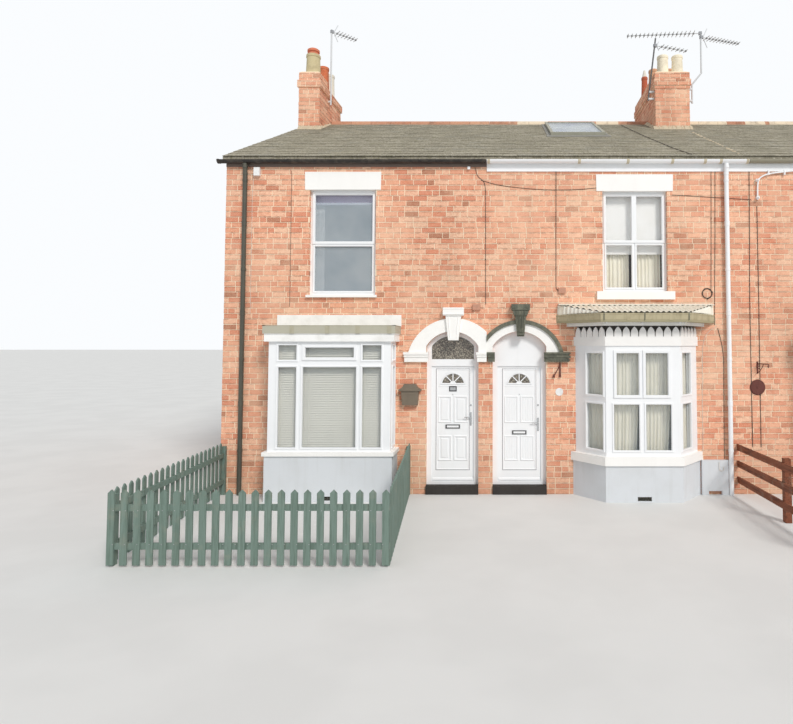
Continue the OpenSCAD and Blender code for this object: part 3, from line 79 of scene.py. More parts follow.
def at(x, y, z):
    return (x - OX, y - OY, z)


def rgb(r, g, b):
    """An sRGB colour in 0 to 255 as linear."""
    out = []
    for c in (r, g, b):
        c /= 255
        out.append(c / 12.92 if c <= 0.04045 else ((c + 0.055) / 1.055) ** 2.4)
    return tuple(out) + (1.0,)


# Materials ---------------------------------------------------------------------------


class Nodes:
    """One material's node tree. Colours given as tuples are sRGB, in 0 to 255."""

    def __init__(self, name, rough=0.6, metal=0.0, spec=0.5, **sockets):
        self.mat = bpy.data.materials.new(name)
        self.mat.use_nodes = True
        self.nt = self.mat.node_tree
        self.b = self.nt.nodes["Principled BSDF"]
        for k, v in {"Roughness": rough, "Metallic": metal, "Specular_IOR_Level": spec,
                     **sockets}.items():
            self.b.inputs[k.replace("_", " ")].default_value = v
        self.co = self.new("ShaderNodeTexCoord").outputs["Object"]

    def new(self, kind, **props):
        n = self.nt.nodes.new(kind)
        for k, v in props.items():
            setattr(n, k, v)
        return n

    def put(self, socket, value):
        if isinstance(value, bpy.types.NodeSocket):
            self.nt.links.new(value, socket)
        else:
            socket.default_value = rgb(*value) if isinstance(value, tuple) else value

    def noise(self, scale, detail=4.0, rough=0.55, stretch=(1, 1, 1), seed=0.0):
        co = self.co
        if seed or stretch != (1, 1, 1):
            m = self.new("ShaderNodeMapping")
            m.inputs["Location"].default_value = (seed, seed * 0.7, seed * 1.3)
            m.inputs["Scale"].default_value = stretch
            self.put(m.inputs[0], co)
            co = m.outputs[0]
        n = self.new("ShaderNodeTexNoise")
        n.inputs["Scale"].default_value = scale
        n.inputs["Detail"].default_value = detail
        n.inputs["Roughness"].default_value = rough
        self.put(n.inputs["Vector"], co)
        return n.outputs[0]

    def ramp(self, fac, *stops, mode="LINEAR"):
        n = self.new("ShaderNodeValToRGB")
        n.color_ramp.interpolation = mode
        e = n.color_ramp.elements
        while len(e) < len(stops):
            e.new(0.5)
        for el, (p, c) in zip(e, stops):
            el.position = p
            el.color = rgb(*c) if isinstance(c, tuple) else (c, c, c, 1)
        self.put(n.inputs[0], fac)
        return n.outputs[0]

    def mix(self, fac, a, b):
        n = self.new("ShaderNodeMix", data_type="RGBA")
        for i, value in ((0, fac), (6, a), (7, b)):
            self.put(n.inputs[i], value)
        return n.outputs[2]

    def math(self, op, a, b=0.0, clamp=False):
        n = self.new("ShaderNodeMath", operation=op, use_clamp=clamp)
        self.put(n.inputs[0], a)
        self.put(n.inputs[1], b)
        return n.outputs[0]

    def add(self, a, b, clamp=False):
        return self.math("ADD", a, b, clamp)

    def sub(self, a, b, clamp=False):
        return self.math("SUBTRACT", a, b, clamp)

    def mul(self, a, b, clamp=False):
        return self.math("MULTIPLY", a, b, clamp)

    def step(self, value, edge):
        """1 where value is over edge, else 0."""
        return self.math("GREATER_THAN", value, edge)

    def inside(self, value, lo, hi):
        """1 where value lies between lo and hi, else 0."""
        return self.mul(self.step(value, lo), self.math("LESS_THAN", value, hi))

    def band(self, value, edge, width):
        """0 below edge, 1 above it, over a soft width."""
        return self.math("DIVIDE", self.sub(value, edge), width, clamp=True)

    def fade(self, lo, hi, top, *noise, **kw):
        """A noise as a mask: 0 below lo, top above hi."""
        return self.ramp(self.noise(*noise, **kw), (lo, 0.0), (hi, top))

    def stain(self, base, tone, *fade, **kw):
        """tone laid over base where a fading noise shows it."""
        return self.mix(self.fade(*fade, **kw), base, tone)

    def xyz(self, source=None):
        n = self.new("ShaderNodeSeparateXYZ")
        self.put(n.inputs[0], source or self.co)
        return n.outputs

    def normal(self):
        return self.new("ShaderNodeNewGeometry").outputs["Normal"]

    def island(self):
        return self.new("ShaderNodeNewGeometry").outputs["Random Per Island"]

    def color(self, value):
        self.put(self.b.inputs["Base Color"], value)

    def rough(self, value):
        self.put(self.b.inputs["Roughness"], value)

    def bump(self, height, strength=0.4, distance=0.002):
        n = self.new("ShaderNodeBump")
        n.inputs["Strength"].default_value = strength
        n.inputs["Distance"].default_value = distance
        self.put(n.inputs["Height"], height)
        self.put(self.b.inputs["Normal"], n.outputs[0])


def brick_tones(n, pick):
    """The clay's colours, chosen brick by brick with pick from 0 to 1."""
    base = n.ramp(
        pick, (0.00, (176, 122, 96)), (0.03, (226, 148, 118)), (0.20, (244, 176, 142)),
        (0.40, (253, 192, 158)), (0.60, (255, 206, 174)), (0.76, (230, 150, 118)),
        (0.90, (254, 212, 180)), (0.97, (200, 132, 104)), mode="CONSTANT")
    base = n.stain(base, (204, 126, 96), 0.35, 0.62, 0.55, 45, 5, 0.7)
    base = n.stain(base, (255, 226, 198), 0.52, 0.68, 0.8, 90, 4, 0.7, seed=3)
    # The bricks' arrises darkened along the bed joints, in patches: painted shade of the joints
    row = n.math("FRACT", n.math("DIVIDE", n.xyz()[2], COURSE))
    edge = n.band(n.math("ABSOLUTE", n.sub(row, 0.5)), 0.27, 0.14)
    edge = n.mul(edge, n.fade(0.40, 0.58, 0.95, 11, 4, 0.7, seed=17))
    base = n.mix(edge, base, (164, 92, 64))
    return n.stain(base, (254, 210, 178), 0.42, 0.68, 0.55, 1.1, 4, 0.65, seed=31)


def mortar_tone(n):
    return n.stain((248, 222, 190), (255, 244, 220), 0.3, 0.7, 1.0, 60, 4, 0.6)


def grime(n, base, amount, tone=(112, 96, 80)):
    """Large patches, streaks that run down, and darker brickwork near the ground."""
    patch = n.fade(0.42, 0.75, 0.5, 0.55, 5, 0.6, seed=11)
    streak = n.fade(0.5, 0.8, 0.5, 3.0, 4, 0.6, stretch=(1, 1, 0.12), seed=5)
    low = n.sub(1.0, n.band(n.xyz()[2], 0.0, 0.9), clamp=True)
    f = n.add(n.add(patch, streak), n.mul(low, 0.8), clamp=True)
    return n.mix(n.mul(f, amount), base, tone)


def m_brick(name, *dirt):
    """Single bricks, each with its own tone."""
    n = Nodes(name, 0.9, spec=0.25)
    n.color(grime(n, brick_tones(n, n.island()), *dirt))
    n.bump(n.noise(140, 5, 0.7), 0.55, 0.003)
    return n.mat


def m_wall():
    """Walls behind the bricks: mortar on the broad faces, coursed brickwork where the
    wall turns into an opening."""
    n = Nodes("wall_brickwork", 0.92, spec=0.2)
    x, y, z = n.xyz()
    v = n.new("ShaderNodeCombineXYZ")
    n.put(v.inputs[0], n.add(x, y))
    n.put(v.inputs[1], z)
    t = n.new("ShaderNodeTexBrick", offset=0.5)
    for key, value in (("Scale", 1.0), ("Brick Width", PITCH), ("Row Height", COURSE),
                       ("Mortar Size", JOINT / 2), ("Color1", (0, 0, 0)),
                       ("Color2", (255, 255, 255)), ("Mortar", (188, 188, 188)),
                       ("Vector", v.outputs[0])):
        n.put(t.inputs[key], value)
    mortar = mortar_tone(n)
    coursed = n.mix(t.outputs["Fac"], brick_tones(n, t.outputs["Color"]), mortar)
    broad = n.step(n.math("ABSOLUTE", n.xyz(n.normal())[1]), 0.7)
    n.color(grime(n, n.mix(broad, coursed, mortar), 0.25))
    n.bump(n.noise(90, 5, 0.7), 0.5, 0.003)
    return n.mat


def m_mortar():
    n = Nodes("mortar", 0.95, spec=0.2)
    n.color(grime(n, mortar_tone(n), 0.3))
    n.bump(n.noise(120, 4, 0.7), 0.5, 0.002)
    return n.mat


def painted(name, base, rough=0.55, dirt=(150, 146, 132), amount=0.35, scale=1.6,
            grain=60, bump=0.15, depth=0.001, spec=0.4):
    """A painted or moulded surface with faint patches, dust on its upper faces and runs, in the
    dirt tone; on the dark masonry paint that tone is pale and stands for wear and for painted
    highlights.
    """
    n = Nodes(name, rough, spec=spec)
    patch = n.fade(0.45, 0.8, 0.45, scale, 5, 0.6)
    run = n.fade(0.52, 0.85, 0.45, scale * 5, 4, 0.6, stretch=(1, 1, 0.08), seed=2)
    top = n.mul(n.xyz(n.normal())[2], 0.4, clamp=True)
    f = n.mul(n.add(n.add(patch, run), top, clamp=True), amount)
    n.color(n.mix(f, base, dirt))
    n.rough(n.add(n.mul(f, 0.5), rough, clamp=True))
    n.bump(n.noise(grain, 4, 0.6), bump, depth)
    return n.mat


def m_slate(name, islands=True):
    n = Nodes(name, 0.82, spec=0.35)
    base = n.ramp(
        n.island() if islands else n.noise(4, 3),
        (0.00, (150, 143, 127)), (0.18, (162, 155, 137)), (0.36, (157, 150, 133)),
        (0.52, (165, 158, 141)), (0.70, (159, 152, 134)), (0.84, (154, 149, 135)),
        (0.94, (172, 165, 148)), mode="CONSTANT")
    flat = (1, 0.35, 0.35)
    base = n.stain(base, (118, 112, 94), 0.45, 0.6, 0.7, 32, 5, 0.7, stretch=flat)
    base = n.stain(base, (186, 180, 158), 0.52, 0.62, 0.6, 38, 4, 0.7, stretch=flat, seed=21)
    base = n.stain(base, (124, 118, 100), 0.45, 0.75, 0.5, 1.1, 5, 0.6,
                   stretch=(1.6, 0.5, 0.5), seed=9)
    base = n.stain(base, (124, 122, 88), 0.56, 0.68, 0.6, 9, 7, 0.7, seed=4)
    # Pale lichen, most of it near the eaves
    low = n.sub(1.0, n.band(n.xyz()[2], EAVES, 0.9), clamp=True)
    spots = n.mul(n.fade(0.60, 0.68, 1.0, 26, 4, 0.6, seed=8), n.add(n.mul(low, 0.7), 0.3))
    n.color(n.mix(spots, base, (206, 201, 186)))
    n.bump(n.noise(70, 6, 0.7), 0.5, 0.004)
    return n.mat


def weather(n, base, amount=0.6):
    """Fired clay's speckle and soot over a base colour."""
    base = n.stain(base, (96, 78, 66), 0.5, 0.8, amount, 5, 5, 0.6, seed=6)
    n.color(n.stain(base, (214, 196, 170), 0.5, 0.75, 0.35, 24, 5, 0.65, seed=12))
    n.bump(n.noise(90, 5, 0.7), 0.45, 0.003)
    return n.mat


def m_ridge():
    """Orange-red ridge tiles with runs of newer cream ones."""
    n = Nodes("ridge_clay_glaze", 0.85, spec=0.3)
    base = n.mix(n.island(), (188, 132, 106), (210, 160, 130))
    x = n.xyz()[0]
    for a, b in ((5.03, 5.75), (6.88, 7.40), (9.08, 9.95), (10.38, 10.85), (10.95, 11.6)):
        base = n.mix(n.inside(x, a - OX, b - OX), base, (234, 216, 190))
    return weather(n, base)


def m_pots():
    """Each pot's own clay, by where it stands."""
    n = Nodes("pot_clay_fired", 0.85, spec=0.3)
    x, y, z = n.xyz()
    rear = n.step(y, 3.62 - OY)
    last = n.step(y, 4.10 - OY)
    left = n.mix(n.step(z, 9.033), (206, 192, 152), (222, 128, 96))
    left = n.mix(rear, left, n.mix(last, (212, 118, 80), (234, 228, 214)))
    slim = n.mix(n.step(z, 9.10), (192, 98, 70), (232, 226, 214))
    right = n.mix(rear, (250, 240, 216), (224, 172, 138))
    thin = n.mul(n.step(y, 4.4 - OY), n.math("LESS_THAN", x, 8.4 - OX))
    right = n.mix(thin, right, slim)
    return weather(n, n.mix(n.step(x, 3.0 - OX), left, right), 0.4)


def m_glass(name, alpha, clear=None):
    """Clear glass whose colour is a painted reflection of a pale sky, paler on the roof's glass.
    clear: where the front's glass is clearer, as a span along the row and a height above it, and
    the alpha there."""
    roof = 6.0
    n = Nodes(name, 0.03, spec=0.9, Alpha=alpha)
    if clear:
        x0, x1, z0, there = clear
        x, y, z = n.xyz()
        inside = n.math("MAXIMUM", n.inside(x, x0 - OX, x1 - OX), n.step(z, z0))
        inside = n.mul(inside, n.math("LESS_THAN", y, 0.0))
        inside = n.mul(inside, n.math("LESS_THAN", z, roof))
        n.put(n.b.inputs["Alpha"], n.sub(alpha, n.mul(inside, alpha - there)))
    # Painted reflection: a pale sky on the walls' glass and a paler one on the roof's
    sky = n.stain((172, 186, 196), (198, 208, 214), 0.35, 0.7, 1.0, 1.2, 3)
    pale = n.stain((206, 218, 240), (232, 242, 246), 0.4, 0.6, 1.0, 2.2, 3, seed=2)
    n.color(n.mix(n.step(n.xyz()[2], roof), sky, pale))
    n.bump(n.noise(1.5, 2), 0.05, 0.01)
    return n.mat


def m_obscured():
    """Rolled glass with a pebbled face; its darker tones are painted shade of the unlit room
    behind.
    """
    n = Nodes("obscured_glass", 0.12, spec=0.8)
    g = n.noise(55, 3, 0.6)
    # Mottled from dark to pale; the dark end is painted shade of the room behind the glass
    n.color(n.ramp(g, (0.35, (62, 57, 52)), (0.5, (104, 97, 88)), (0.6, (150, 143, 128)),
                   (0.7, (196, 190, 172))))
    n.bump(g, 0.6, 0.004)
    return n.mat


def by_place(name, rough, tone, box, other):
    """A painted surface of one tone, with another inside a box (x0, x1, z0, z1)."""
    n = Nodes(name, rough, spec=0.4)
    x, _, z = n.xyz()
    inside = n.mul(n.inside(x, box[0] - OX, box[1] - OX), n.inside(z, box[2], box[3]))
    n.color(n.stain(n.mix(inside, tone, other), (130, 120, 104), 0.45, 0.8, 0.35, 8, 5, 0.6))
    n.bump(n.noise(60, 4, 0.6), 0.15, 0.001)
    return n.mat


def by_height(name, tone, *bands):
    """A painted material whose colour changes at heights above the ground."""
    n = Nodes(name, 0.75, spec=0.3)
    z = n.xyz()[2]
    for edge, other in bands:
        tone = n.mix(n.step(z, edge), tone, other)
    n.color(n.stain(tone, (140, 136, 116), 0.5, 0.85, 0.25, 5, 5, 0.6))
    n.bump(n.noise(160, 4, 0.6), 0.3, 0.0015)
    return n.mat


def m_metal(name, base, rough):
    n = Nodes(name, rough, metal=1.0)
    f = n.fade(0.45, 0.8, 0.6, 14, 5, 0.6)
    n.color(n.mix(f, base, (120, 116, 110)))
    n.rough(n.add(n.mul(f, 0.3), rough))
    return n.mat


def m_wood(name, dark, light, along=(1, 1, 0.06)):
    n = Nodes(name, 0.75, spec=0.3)
    g = n.noise(28, 6, 0.65, stretch=along)
    base = n.ramp(g, (0.3, dark), (0.5, light), (0.62, dark), (0.75, light))
    base = n.mix(n.mul(n.island(), 0.35), base, dark)
    n.color(n.stain(base, (150, 146, 130), 0.55, 0.8, 0.5, 6, 5, 0.6, seed=7))
    n.bump(g, 0.4, 0.002)
    return n.mat


def m_cloth(name, base, shade):
    """Woven cloth: fine threads both ways and a faint change of tone."""
    threads = 900
    n = Nodes(name, 0.9, spec=0.2, Sheen_Weight=0.2)
    x, y, z = n.xyz()
    across = n.math("SINE", n.mul(n.add(x, y), threads))
    up = n.math("SINE", n.mul(z, threads))
    n.color(n.stain(base, shade, 0.4, 0.7, 0.5, 3, 3))
    n.bump(n.mul(across, up), 0.2, 0.0004)
    return n.mat


RIGHT_HOUSE = (8.8, 14, 0, 9)

# painted() takes tone, roughness, dirt, its amount and scale, then the grain's scale,
# strength and depth
MAT = {
    "brick": m_brick("brick_faces", 0.3),
    "stack_brick": m_brick("stack_brick_faces", 0.72, (172, 100, 76)),
    "wall": m_wall(),
    "mortar": m_mortar(),
    "fillet": painted("fillet_mortar", (216, 200, 174), 0.9, (150, 138, 116), 0.7, 7.0,
                      60, 0.5, 0.004, spec=0.2),
    "slate": m_slate("roof_slates"),
    "slate_bed": m_slate("slate_bed", False),
    "ridge": m_ridge(),
    "pot": m_pots(),
    "upvc": painted("white_upvc", (246, 248, 250), 0.32, amount=0.12, bump=0.04, spec=0.5),
    "white_paint": painted("white_masonry_paint", (251, 250, 247), 0.75, amount=0.12,
                           grain=120, bump=0.4, depth=0.0015),
    "white_wood": painted("white_wood_paint", (249, 248, 246), 0.5, amount=0.12),
    # The bays' bases: white paint, greyed and cooled a little as painted shade
    "render": painted("painted_render", (218, 222, 226), 0.85, grain=200, bump=0.6,
                      depth=0.002, spec=0.2),
    "black": painted("black_upvc_paint", (78, 77, 68), 0.4, (124, 120, 104), 0.6),
    "olive": painted("olive_gutter_lichen", (186, 176, 146), 0.8, (108, 98, 70), 0.95, 6.0,
                     120, 0.4, 0.002, spec=0.2),
    # Dark masonry paint: its pale patches and paler upper faces are wear and dust, and also
    # painted highlights on the carving
    "dark_paint": painted("dark_masonry_paint", (94, 96, 84), 0.7, (176, 173, 152), 0.85,
                          13.0, 90, 0.5, 0.002),
    "moulded_clip": painted("moulded_clip_grey", (150, 153, 158), 0.5, (96, 98, 102), 0.4, 20.0),
    "dark_mast": painted("weathered_dark_mast", (92, 92, 92), 0.5, (140, 132, 120), 0.5, 9.0),
    "joint": painted("gutter_joint_dirt", (212, 202, 178), 0.6, (150, 138, 112), 0.8, 14.0),
    "felt": painted("mineral_felt", (184, 179, 158), 0.9, (120, 116, 90), 0.8, 5.0,
                    260, 0.7, 0.002, spec=0.15),
    "fibre": painted("fibre_cement_sheet", (250, 246, 234), 0.9, (176, 168, 136), 0.6, 3.0,
                     200, 0.5, 0.001, spec=0.2),
    "lead": painted("lead_sheet_grey", (150, 148, 142), 0.6, (98, 94, 84), 0.5, 4.0),
    "stone": painted("step_stone_worn", (58, 54, 51), 0.85, (38, 35, 33), 0.6, 4.0,
                     90, 0.5, 0.003),
    "skylight": painted("skylight_frame_paint", (136, 135, 120), 0.4, (206, 200, 180), 0.5),
    "bronze": painted("bronze_letterbox_paint", (124, 113, 98), 0.4, (74, 66, 56), 0.5),
    "rust": painted("red_brown_iron_paint", (104, 56, 48), 0.6, (70, 50, 44), 0.6, 9.0),
    "cable_dark": painted("cable_sheath_black", (66, 60, 56), 0.6, (120, 100, 84), 0.5),
    "cable_pale": painted("cable_sheath_white", (226, 218, 206), 0.6, (180, 150, 128), 0.4),
    "slats": painted("blind_slats_cream", (250, 247, 234), 0.5, amount=0.1, bump=0.02),
    "green": m_wood("sage_green_paint", (98, 116, 106), (122, 141, 132)),
    "brown": m_wood("brown_stain", (94, 54, 39), (146, 88, 62), along=(1, 0.06, 1)),
    "boards": m_wood("floor_boards_wood", (140, 110, 78), (174, 142, 104), along=(1, 0.05, 1)),
    "glass": m_glass("window_glass_clear", 0.46, (5.0, 8.6, 4.885, 0.05)),
    "bay_glass": m_glass("bay_glass_clear", 0.14),
    "obscured": m_obscured(),
    "gutter_dark": by_place("gutter_black_and_grey", 0.45, (46, 43, 41), RIGHT_HOUSE,
                            (150, 146, 128)),
    # The left houses' fascia keeps the brown-grey it shows in the gutter's shadow, partly painted
    # shade; the right house's is white
    "fascia_dark": by_place("fascia_brown_and_white", 0.6, (120, 106, 98), RIGHT_HOUSE,
                            (246, 246, 244)),
    "plates": by_place("wall_plates_paint", 0.5, (244, 244, 243), (4.1, 5.8, 2.9, 3.6),
                       (198, 146, 122)),
    "box_roof": by_height("box_bay_roof_paint", (250, 250, 248), (2.641, (186, 183, 166)),
                          (2.7655, (252, 251, 248))),
    # The canted hood: below 2.7635 m a dark grey that is painted shade under the hood, then the
    # white board, the olive gutter and the pale sheets
    "hood": by_height("canted_hood_paint_and_soffit_shade", (92, 88, 84), (2.7635, (246, 246, 244)),
                      (2.8195, (166, 158, 128)), (2.8862, (240, 234, 216))),
    "dark_plate": painted("dark_number_plate", (62, 62, 66), 0.4, amount=0.3),
    # The doors' grey seal, which also stands as painted shade in the groove round each leaf's face
    "seal": painted("door_seal_and_groove_shade", (128, 130, 138), 0.6, amount=0.3),
    "aerial": painted("aerial_aluminium", (214, 217, 220), 0.4, (150, 150, 146), 0.4, 9.0,
                      spec=0.6),
    "bright": m_metal("bright_fittings", (200, 202, 204), 0.25),
    "lilac": m_cloth("roller_blind_lilac", (214, 210, 232), (198, 194, 220)),
    "white_cloth": m_cloth("roller_blind_white", (252, 251, 248), (242, 240, 234)),
    "cream_cloth": m_cloth("curtain_cream", (250, 246, 230), (234, 228, 206)),
    "net": m_cloth("curtain_white", (252, 251, 249), (238, 238, 234)),
}

NODE_MATS = {
    "wall": "front_wall_left front_wall_middle front_wall_right door_pier "
            "front_wall_over_doors front_wall_upper party_walls rear_wall",
    "mortar": "gable_wall chimney_left chimney_right",
    "boards": "ground_floor upper_floor",
    "slate_bed": "roof_front roof_rear",
    "ridge": "ridge_tiles",
    "skylight": "skylight",
    "pot": "chimney_pots",
    "aerial": "aerials",
    "black": "downpipe_black",
    "gutter_dark": "gutter_black",
    "fascia_dark": "fascia_black",
    "plates": "wall_plates",
    "upvc": "fascia_white gutter_white downpipe_white window_frames bay_windows door_frames "
            "rear_doors door_1 door_2 door_3",
    "glass": "window_glass",
    "bay_glass": "bay_glass",
    "obscured": "fanlights door_glass_1 door_glass_2 door_glass_3",
    "white_paint": "window_sills lintels arch_surrounds bay_sills",
    "white_wood": "canted_bay_frieze",
    "render": "bay_bases",
    "box_roof": "box_bay_roofs",
    "hood": "canted_bay_roof",
    "stone": "door_steps",
    "dark_paint": "dark_arch_moulding",
    "bronze": "post_box",
    "green": "picket_fence_front picket_fence_left picket_fence_right",
    "brown": "rail_fence",
    "bright": "door_fittings_1 door_fittings_2 door_fittings_3",
}
for key, names in NODE_MATS.items():
    for name in names.split():
        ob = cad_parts[name]
        ob.data.materials.clear()
        ob.data.materials.append(MAT[key])


# Mesh helpers ------------------------------------------------------------------------


def rect(a, b, c, d):
    return [(a, c), (b, c), (b, d), (a, d)]


def arc(cx, cy, r, n, t0=0.0, t1=2 * math.pi):
    """n + 1 points round a centre, from angle t0 to t1."""
    turns = [t0 + (t1 - t0) * j / n for j in range(n + 1)]
    return [(cx + r * math.cos(t), cy + r * math.sin(t)) for t in turns]


def spans(a, b, n):
    """The n equal lengths from a to b, each as its two ends."""
    return [(a + (b - a) * j / n, a + (b - a) * (j + 1) / n) for j in range(n)]


def mids(a, b, n):
    """The middles of the n equal lengths from a to b."""
    return [a + (b - a) * (j + 0.5) / n for j in range(n)]


class Mesh:
    """One piece's points, faces and the faces' material numbers."""

    def __init__(self):
        self.v, self.f, self.m = [], [], []

    def solid(self, low, high, m=0):
        """A closed prism between two rings of the same number of points."""
        i, k = len(self.v), len(low)
        self.v += list(low) + list(high)
        self.f.append([i + j for j in reversed(range(k))])
        self.f.append([i + k + j for j in range(k)])
        for j in range(k):
            n = (j + 1) % k
            self.f.append([i + j, i + n, i + k + n, i + k + j])
        self.m += [m] * (k + 2)

    def slab(self, to3, outline, d0, d1, m=0, top=None):
        """An outline on a plane, from d0 to d1 out of it. top: the outline at d1."""
        self.solid([to3(u, v, d0) for u, v in outline],
                   [to3(u, v, d1) for u, v in top or outline], m)

    def rail(self, to3, u0, u1, section, m=0):
        """A section of (out, up) points carried along a plane from u0 to u1."""
        self.solid([to3(u0, v, d) for d, v in section], [to3(u1, v, d) for d, v in section], m)

    def box(self, x0, x1, y0, y1, z0, z1, m=0):
        self.slab(at, rect(x0, x1, y0, y1), z0, z1, m)

    def carry(self, rings, m=0, closed=False):
        """Skins a row of equal rings. closed joins the ends, which are capped if not."""
        i, k, n = len(self.v), len(rings[0]), len(rings)
        for points in rings:
            self.v += points
        for j in range(n if closed else n - 1):
            p, q = i + j * k, i + (j + 1) % n * k
            for s in range(k):
                t = (s + 1) % k
                self.f.append([p + s, p + t, q + t, q + s])
                self.m.append(m)
        if not closed:
            self.f += [[i + s for s in reversed(range(k))],
                       [i + (n - 1) * k + s for s in range(k)]]
            self.m += [m, m]

    def tube(self, path, r, sides=8, m=0):
        """A closed round bar along a path of points in the shared frame."""
        rings, a = [], None
        pts = [Vector(p) for p in path]
        for j, p in enumerate(pts):
            d = (pts[min(j + 1, len(pts) - 1)] - pts[max(j - 1, 0)]).normalized()
            a = (d.orthogonal() if a is None else a - d * a.dot(d)).normalized()
            b = d.cross(a)
            rings.append([tuple(p + a * u + b * v) for u, v in arc(0, 0, r, sides)[:-1]])
        self.carry(rings, m)

    def stud(self, to3, u, v, d0, d1, r, sides=8, m=0):
        """A round bar straight out of a plane, from d0 to d1."""
        self.tube([to3(u, v, d0), to3(u, v, d1)], r, sides, m)


def piece(name, mesh, mats, body=ROW, smooth=False):
    me = bpy.data.meshes.new(name)
    me.from_pydata(mesh.v, [], mesh.f)
    for key in mats:
        me.materials.append(MAT[key])
    me.polygons.foreach_set("material_index", mesh.m)
    if smooth:
        me.polygons.foreach_set("use_smooth", [True] * len(me.polygons))
    bm = bmesh.new()
    bm.from_mesh(me)
    bmesh.ops.recalc_face_normals(bm, faces=bm.faces[:])
    bm.to_mesh(me)
    bm.free()
    ob = bpy.data.objects.new(name, me)
    bpy.context.scene.collection.objects.link(ob)
    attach(ob, body)
    return ob


def clip(poly, lines):
    """A convex polygon cut by half-planes (a, b, c) that keep a*u + b*v <= c."""
    for a, b, c in lines:
        out = []
        for j, p in enumerate(poly):
            q = poly[(j + 1) % len(poly)]
            dp, dq = a * p[0] + b * p[1] - c, a * q[0] + b * q[1] - c
            if dp <= 0:
                out.append(p)
            if (dp < 0 < dq) or (dq < 0 < dp):
                t = dp / (dp - dq)
                out.append((p[0] + t * (q[0] - p[0]), p[1] + t * (q[1] - p[1])))
        poly = out
        if len(poly) < 3:
            return []
    return poly


def less(rects, hole):
    """Rectangles (u0, u1, v0, v1) with a rectangular hole taken out."""
    a, b, c, d = hole
    out = []
    for u0, u1, v0, v1 in rects:
        if u1 <= a or u0 >= b or v1 <= c or v0 >= d:
            out.append((u0, u1, v0, v1))
            continue
        m0, m1 = max(u0, a), min(u1, b)
        out += [r for keep, r in ((u0 < a, (u0, a, v0, v1)), (u1 > b, (b, u1, v0, v1)),
                                  (v0 < c, (m0, m1, v0, c)), (v1 > d, (m0, m1, d, v1))) if keep]
    return out


def street(y):
    """A plane that faces the street: u along the row, v up, d out of it."""
    return lambda u, v, d: at(u, y - d, v)


def garden(y):
    """A plane that faces the rear, with u running the other way."""
    return lambda u, v, d: at(-u, y + d, v)


def upright(p, q):
    """An upright plane over the plan line p to q; d goes to the right of that line."""
    dx, dy = q[0] - p[0], q[1] - p[1]
    k = math.hypot(dx, dy)
    dx, dy = dx / k, dy / k
    return lambda u, v, d: at(p[0] + u * dx + d * dy, p[1] + u * dy - d * dx, v)


# Bricks and slates -------------------------------------------------------------------


# A course lower than this isn't laid
SCRAP = 0.015


def bricks(mesh, to3, u0, u1, v0, v1, holes=(), lines=(), seed=1, header=0.12):
    """Lays bricks on a wall plane, round the holes and inside the lines."""
    rng = random.Random(seed)
    for k in range(int(math.floor(v0 / COURSE)), int(math.ceil(v1 / COURSE))):
        zb, zt = max(k * COURSE + JOINT / 2, v0), min((k + 1) * COURSE - JOINT / 2, v1)
        if zt - zb < SCRAP:
            continue
        u = u0 - (PITCH / 2 if k % 2 else 0) - rng.choice((0, 0.02, 0.05))
        while u < u1:
            w = PITCH if rng.random() > header else PITCH / 2 + 0.002
            a, b = max(u + JOINT / 2, u0), min(u + w - JOINT / 2, u1)
            u += w
            if b - a < 0.02:
                continue
            dz = rng.uniform(-0.0012, 0.0012)
            out = rng.uniform(0.003, 0.006)
            tilt = rng.uniform(-0.001, 0.001)
            rects = [(a, b, zb + dz, zt + dz)]
            for h in holes:
                rects = less(rects, h)
            for p0, p1, q0, q1 in rects:
                if min(p1 - p0, q1 - q0) < JOINT:
                    continue
                poly = clip(rect(p0, p1, q0, q1), lines)
                if len(poly) > 2:
                    mesh.solid([to3(s, t, -0.003) for s, t in poly],
                               [to3(s, t, out + tilt * (s - p0)) for s, t in poly])


def around(cx, half, v0, v1):
    return (cx - half, cx + half, v0, v1)


def front_holes():
    out = []
    for cx, w, z, h, sh, sw, lw, lh in WINS:
        out += [around(cx, w / 2, z, z + h), around(cx, sw / 2, z - sh, z),
                around(cx, lw / 2 - 0.012, z + h, z + h + 0.028 + lh)]
    out += [around(cx, BOX_HALF - 0.075, -1, 2.515) for cx in BOX_CX]
    out.append(around(BAY_CX[1], CANT_HALF - 0.14, -1, 2.446))
    out += [(x, x + w, -1, 2.685) for x, w in DOORS]
    # A straight joint in the left house's brickwork
    out.append((1.096, 1.104, 3.1, 5.4))
    return out


def rear_holes():
    out = []
    for cx, z, h in REAR_WINS:
        out += [around(-cx, REAR_SILL, z - 0.07, z), around(-cx, REAR_HALF, z, z + h),
                around(-cx, REAR_SILL, z + h, z + h + 0.2)]
    for x in REAR_DOORS:
        out += [(-x - REAR_DOOR_W, -x, 0.138, 2.188),
                (-x - REAR_DOOR_W - 0.09, -x + 0.09, 2.188, 2.388)]
    return out


def lay_walls():
    m = Mesh()
    bricks(m, street(0), 0.0, ROW_END, 0.0, EAVES - 0.02, front_holes(), seed=21, header=0.2)
    piece("front_bricks", m, ["brick"])

    m = Mesh()
    bricks(m, garden(DEPTH), -ROW_END, -SKEW * DEPTH, 0.0, EAVES - 0.02, rear_holes(),
           seed=22, header=0.1)
    piece("rear_bricks", m, ["brick"])

    top = EAVES - 0.012
    for name, p, q, seed in (("gable_bricks", (SKEW * DEPTH, DEPTH), (0, 0), 23),
                             ("end_bricks", (ROW_END, 0), (ROW_END, DEPTH), 24)):
        m = Mesh()
        k = math.dist(p, q) / DEPTH
        bricks(m, upright(p, q), 0.0, DEPTH * k, 0.0, 8.0, seed=seed, header=0.15,
               lines=[(-SLOPE / k, 1.0, top), (SLOPE / k, 1.0, top + SLOPE * DEPTH)])
        piece(name, m, ["brick"])


